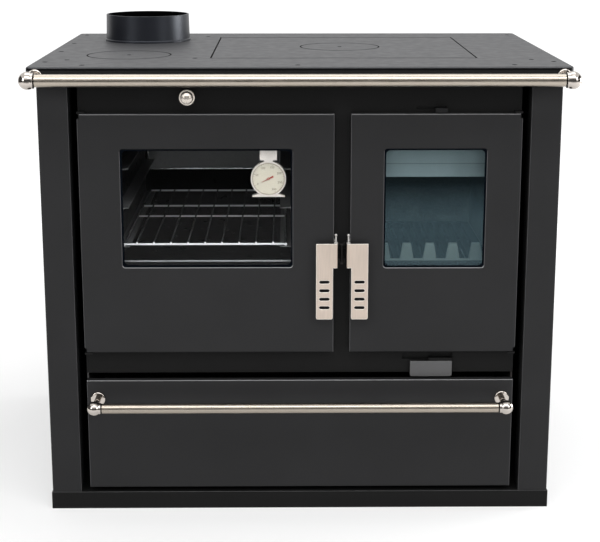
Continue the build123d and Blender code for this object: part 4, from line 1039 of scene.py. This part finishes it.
def pointer(wish, centre):
    """Red pointer: a ring on the arbor, a slim blade to the scale and a broad tail."""
    low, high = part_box("thermometer_needle")
    thick = high.y - low.y
    inner, outer = POINTER_HUB
    shape = bmesh.new()
    corners = ((inner, 0.0), (outer, 0.0), (outer, thick), (inner, thick))
    section = [shape.verts.new((out, depth, 0.0)) for out, depth in corners]
    edges = [shape.edges.new((section[i - 1], section[i])) for i in range(4)]
    spin(shape, section, edges, (0, 0, 0), 24)
    blades = (
        (POINTER_ROOT, wish.blade, *BLADE_WIDTHS),
        (-POINTER_ROOT, -wish.tail, *TAIL_WIDTHS),
    )
    for near, far, root, tip in blades:
        outline = ((near, -root), (near, root), (far, tip), (far, -tip))
        face = shape.faces.new([shape.verts.new((x, 0.0, z)) for x, z in outline])
        side = bmesh.ops.extrude_face_region(shape, geom=[face])["geom"]
        moved = [v for v in side if isinstance(v, bmesh.types.BMVert)]
        bmesh.ops.translate(shape, vec=(0, thick, 0), verts=moved)
    bmesh.ops.recalc_face_normals(shape, faces=shape.faces)
    turned = Matrix.Rotation(-wish.first_angle, 4, "Y")
    place = Matrix.Translation((centre.x, low.y, centre.z))
    bmesh.ops.transform(shape, matrix=place @ turned, verts=shape.verts)
    red = Finish("red_pointer_paint", Roughness=0.4)
    red.grain(wish.pointer, toned(wish.pointer, 0.6), 0.0015, most=0.3, detail=2.0)
    made = placed("red_pointer", solid("red_pointer", shape), red)
    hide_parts("thermometer_needle")
    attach(made, "thermometer_needle")


def number(shape, words, spot, height):
    """Adds one number of the dial, upright and facing the front."""
    text = bpy.data.curves.new("number_" + words, "FONT")
    text.body = words
    text.size = height / 0.7
    text.align_x = "CENTER"
    text.align_y = "CENTER"
    text.resolution_u = 2
    text.extrude = PRINT_DEPTH
    drawn = placed("number_" + words, text)
    scene_now = bpy.context.evaluated_depsgraph_get()
    mesh = bpy.data.meshes.new_from_object(drawn.evaluated_get(scene_now))
    bpy.data.objects.remove(drawn)
    mesh.transform(Matrix.Translation(spot) @ Matrix.Rotation(math.pi / 2, 4, "X"))
    shape.from_mesh(mesh)
    bpy.data.meshes.remove(mesh)


def marks(wish, centre):
    """Printed circle, ticks and numbers of the dial, on its cream face."""
    shape = bmesh.new()
    near, far = wish.radius, wish.radius + CIRCLE_WIDTH
    front, rear = -PRINT_DEPTH, PRINT_DEPTH
    outline = [
        shape.verts.new(centre + Vector((0.0, y, z)))
        for y, z in ((front, near), (front, far), (rear, far), (rear, near))
    ]
    face = shape.faces.new(outline)
    ring = list(face.edges)
    bmesh.ops.delete(shape, geom=[face], context="FACES_ONLY")
    spin(shape, outline, ring, centre, 96)
    ticks = wish.numbers * TICKS
    for i in range(ticks + 1):
        turn = wish.first_angle - wish.sweep * i / ticks
        tall, wide = SHORT_TICK if i % TICKS else LONG_TICK
        out = Matrix.Translation((0, 0, wish.radius - tall / 2))
        turned = Matrix.Translation(centre) @ Matrix.Rotation(math.pi / 2 - turn, 4, "Y")
        size = Matrix.Diagonal((wide, 2 * PRINT_DEPTH, tall, 1.0))
        bmesh.ops.create_cube(shape, size=1.0, matrix=turned @ out @ size)
    out = wish.radius - LONG_TICK[0] - 0.0002 - wish.number_height * 0.8
    for i in range(wish.numbers + 1):
        turn = wish.first_angle - wish.sweep * i / wish.numbers
        spot = centre + Vector((math.cos(turn) * out, 0.0, math.sin(turn) * out))
        number(shape, str(i * wish.step), spot, wish.number_height)
    bmesh.ops.recalc_face_normals(shape, faces=shape.faces)
    ink = Finish("dial_ink", Roughness=0.6)
    ink.grain(wish.ink, toned(wish.ink, 1.5), 0.0012, detail=2.0)
    made = placed("dial_marks", solid("dial_marks", shape), ink)
    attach(made, "oven_door")


class STOVE_OT_thermometer(Operator):
    """Print the thermometer's face and paint its pointer"""

    bl_idname = "stove.thermometer"
    bl_label = "Thermometer"

    def execute(self, context):
        wish = context.scene.stove.dial
        low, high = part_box("thermometer_dial")
        centre = (low + high) / 2
        face = Finish("printed_face", Roughness=0.45)
        face.grain(toned(wish.face, 0.94), wish.face, 0.002)
        # Painted shade: the face darkens just outside the printed circle, under the case's rim.
        rim = (wish.radius + 0.0002, wish.radius + 0.0014)
        face.overlay(face.spread(face.around(centre), 0.0, 0.9, *rim), wish.rim)
        face.onto("thermometer_dial")
        pointer(wish, centre)
        marks(wish, Vector((centre.x, high.y - DIAL_THICKNESS, centre.z)))
        return {"FINISHED"}


# ---------------------------------------------------------------- studio

# Name, width and depth, place, turn in degrees about X and Y, and grey. Only reflections see them.
CARDS = (
    ("card_behind_camera", (9.0, 3.0), (0.0, -5.6, 1.52), (90, 0), 140),
    ("card_on_floor", (9.0, 3.9), (0.0, -3.75, 0.004), (0, 0), 16),
    ("card_on_left", (3.0, 6.0), (-3.6, -1.0, 1.5), (0, 90), 90),
    ("card_on_right", (3.0, 6.0), (3.6, -1.0, 1.5), (0, 90), 90),
)

CARD_FADE = (-3.3, -2.65)  # where the floor card is at its far and at its near brightness

# Name, place, aim, width and height, setting for the power, and share of that power.
LAMPS = (
    ("key_softbox", (0.0, -1.9, 2.9), (0.0, 0.0, 0.5), (2.8, 1.0), "key", 1.0),
    ("top_softbox", (0.0, 0.3, 2.7), (0.0, 0.2, 0.0), (2.4, 1.6), "key", 0.5),
    ("left_softbox", (-2.3, -2.2, 1.75), (0.0, 0.0, 0.45), (0.9, 1.5), "fill", 1.0),
    ("right_softbox", (2.3, -2.2, 1.75), (0.0, 0.0, 0.45), (0.9, 1.5), "fill", 1.0),
    ("front_softbox", (0.0, -3.3, 0.98), (0.0, 0.0, 0.6), (1.8, 0.5), "front", 1.0),
    ("rim_softbox", (2.7, 0.45, 0.75), (-0.2, 0.1, 0.75), (1.2, 0.9), "fill", 3.0),
)

CAMERA_PLACE = (-0.0228, -2.612, 1.033)
CAMERA_SHIFT = -0.0683


def plane(name, size, finish):
    shape = bmesh.new()
    bmesh.ops.create_grid(shape, x_segments=1, y_segments=1, size=0.5)
    bmesh.ops.scale(shape, vec=(*size, 1.0), verts=shape.verts)
    made = placed(name, solid(name, shape), finish)
    return made


def floor(wish):
    """White paper that keeps soft shadows and is seen whiter further from the stove."""
    paper = Finish(
        "white_paper_floor", Base_Color=wish.backdrop, Roughness=0.9, Specular_IOR_Level=0.0
    )
    paper.bump(paper.noise(0.003), 0.0001, strength=0.2)
    x, y, _ = paper.axes()
    glow = paper.spread(paper.hypotenuse(x, y), wish.near_glow, wish.far_glow, 0.6, 2.2)
    seen = paper.sum("MULTIPLY", paper.seen(), glow)
    white = paper.node("ShaderNodeEmission", {"Color": WHITE, "Strength": seen})
    links = {0: paper.shader.outputs[0], 1: white.outputs[0]}
    paper.surface(paper.node("ShaderNodeAddShader", links))
    plane("studio_floor", (30.0, 30.0), paper)


def card(wish, name, size, place, turn, grey):
    """A grey card that only reflections see; the one on the floor fades into the white."""
    tint = shade(grey, grey, grey)
    cloth = Finish(name + "_cloth", Base_Color=tint, Roughness=1.0, Specular_IOR_Level=0.0)
    cloth.bump(cloth.noise(0.004, detail=4.0), 0.0005)
    if name == "card_on_floor":
        fade = cloth.spread(cloth.axes()[DEPTH], wish.far_card, wish.near_card, *CARD_FADE)
        cloth.join(WHITE, "Emission Color")
        cloth.join(fade, "Emission Strength")
    dark = plane(name, size, cloth)
    about_x, about_y = (math.radians(degrees) for degrees in turn)
    turned = Matrix.Rotation(about_x, 4, "X") @ Matrix.Rotation(about_y, 4, "Y")
    dark.data.transform(Matrix.Translation(place) @ turned)
    dark.visible_camera = False
    dark.visible_diffuse = False
    dark.visible_shadow = False


def lamp(wish, name, place, aim, size, setting, part):
    light = bpy.data.lights.new(name, "AREA")
    light.shape = "RECTANGLE"
    light.size, light.size_y = size
    light.energy = getattr(wish, setting) * part
    made = placed(name, light)
    made.location = place
    made.rotation_euler = (Vector(aim) - Vector(place)).to_track_quat("-Z", "Y").to_euler()
    made.visible_glossy = setting != "front"


def white_room(scene, wish):
    """Room that is seen white, and lights the stove more softly than that."""
    scene.world = bpy.data.worlds.new("white_room")
    scene.world.use_nodes = True
    room = Nodes(scene.world.node_tree)
    plain = room.tree.nodes["Background"]
    room.feed(plain.inputs["Color"], WHITE)
    room.feed(plain.inputs["Strength"], wish.ambient)
    white = room.node("ShaderNodeBackground", {"Color": WHITE, "Strength": 1.0})
    links = {0: room.seen(), 1: plain.outputs[0], 2: white.outputs[0]}
    both = room.node("ShaderNodeMixShader", links)
    room.feed(room.tree.nodes["World Output"].inputs["Surface"], both.outputs[0])


def camera(scene, wish):
    eye = bpy.data.cameras.new("photo_camera")
    eye.lens = wish.lens
    eye.sensor_width = 36.0
    eye.sensor_fit = "HORIZONTAL"
    eye.shift_y = CAMERA_SHIFT
    scene.camera = placed("photo_camera", eye)
    scene.camera.location = CAMERA_PLACE
    scene.camera.rotation_euler = (wish.tilt, 0.0, wish.turn)


class STOVE_OT_studio(Operator):
    """Set the floor, lamps, white room and camera"""

    bl_idname = "stove.studio"
    bl_label = "Studio"

    def execute(self, context):
        wish = context.scene.stove.studio
        floor(wish)
        for row in CARDS:
            card(wish, *row)
        for row in LAMPS:
            lamp(wish, *row)
        white_room(context.scene, wish)
        camera(context.scene, wish)
        context.scene.view_settings.view_transform = "Standard"
        return {"FINISHED"}


# ---------------------------------------------------------------- add-on


STEPS = (
    (STOVE_OT_enamel, "enamel"),
    (STOVE_OT_hob, "hob"),
    (STOVE_OT_bright_metal, "bright"),
    (STOVE_OT_oven, "oven"),
    (STOVE_OT_firebox, "firebox"),
    (STOVE_OT_seals, "rope"),
    (STOVE_OT_glass, "glass"),
    (STOVE_OT_thermometer, "dial"),
    (STOVE_OT_studio, "studio"),
)


class STOVE_PT_finishes(Panel):
    """Lists the cookstove's finishes and their settings"""

    bl_idname = "STOVE_PT_finishes"
    bl_label = "Cookstove Finishes"
    bl_space_type = "VIEW_3D"
    bl_region_type = "UI"
    bl_category = "Cookstove"

    def draw(self, context):
        for operator, name in STEPS:
            box = self.layout.box()
            box.operator(operator.bl_idname)
            group = getattr(context.scene.stove, name)
            for key in group.bl_rna.properties.keys():
                if key not in ("rna_type", "name"):
                    box.prop(group, key)


CLASSES = (
    EnamelSettings, HobSettings, BrightSettings, OvenSettings, FireboxSettings,
    GlassSettings, RopeSettings, DialSettings, StudioSettings, StoveSettings,
    *(operator for operator, _ in STEPS), STOVE_PT_finishes,
)


def register():
    for kind in CLASSES:
        bpy.utils.register_class(kind)
    bpy.types.Scene.stove = PointerProperty(type=StoveSettings)


def unregister():
    del bpy.types.Scene.stove
    for kind in reversed(CLASSES):
        bpy.utils.unregister_class(kind)


def main():
    register()
    bpy.ops.stove.enamel()
    bpy.ops.stove.hob()
    bpy.ops.stove.bright_metal()
    bpy.ops.stove.oven()
    bpy.ops.stove.firebox()
    bpy.ops.stove.seals()
    bpy.ops.stove.glass()
    bpy.ops.stove.thermometer()
    bpy.ops.stove.studio()


if __name__ == "__main__":
    main()
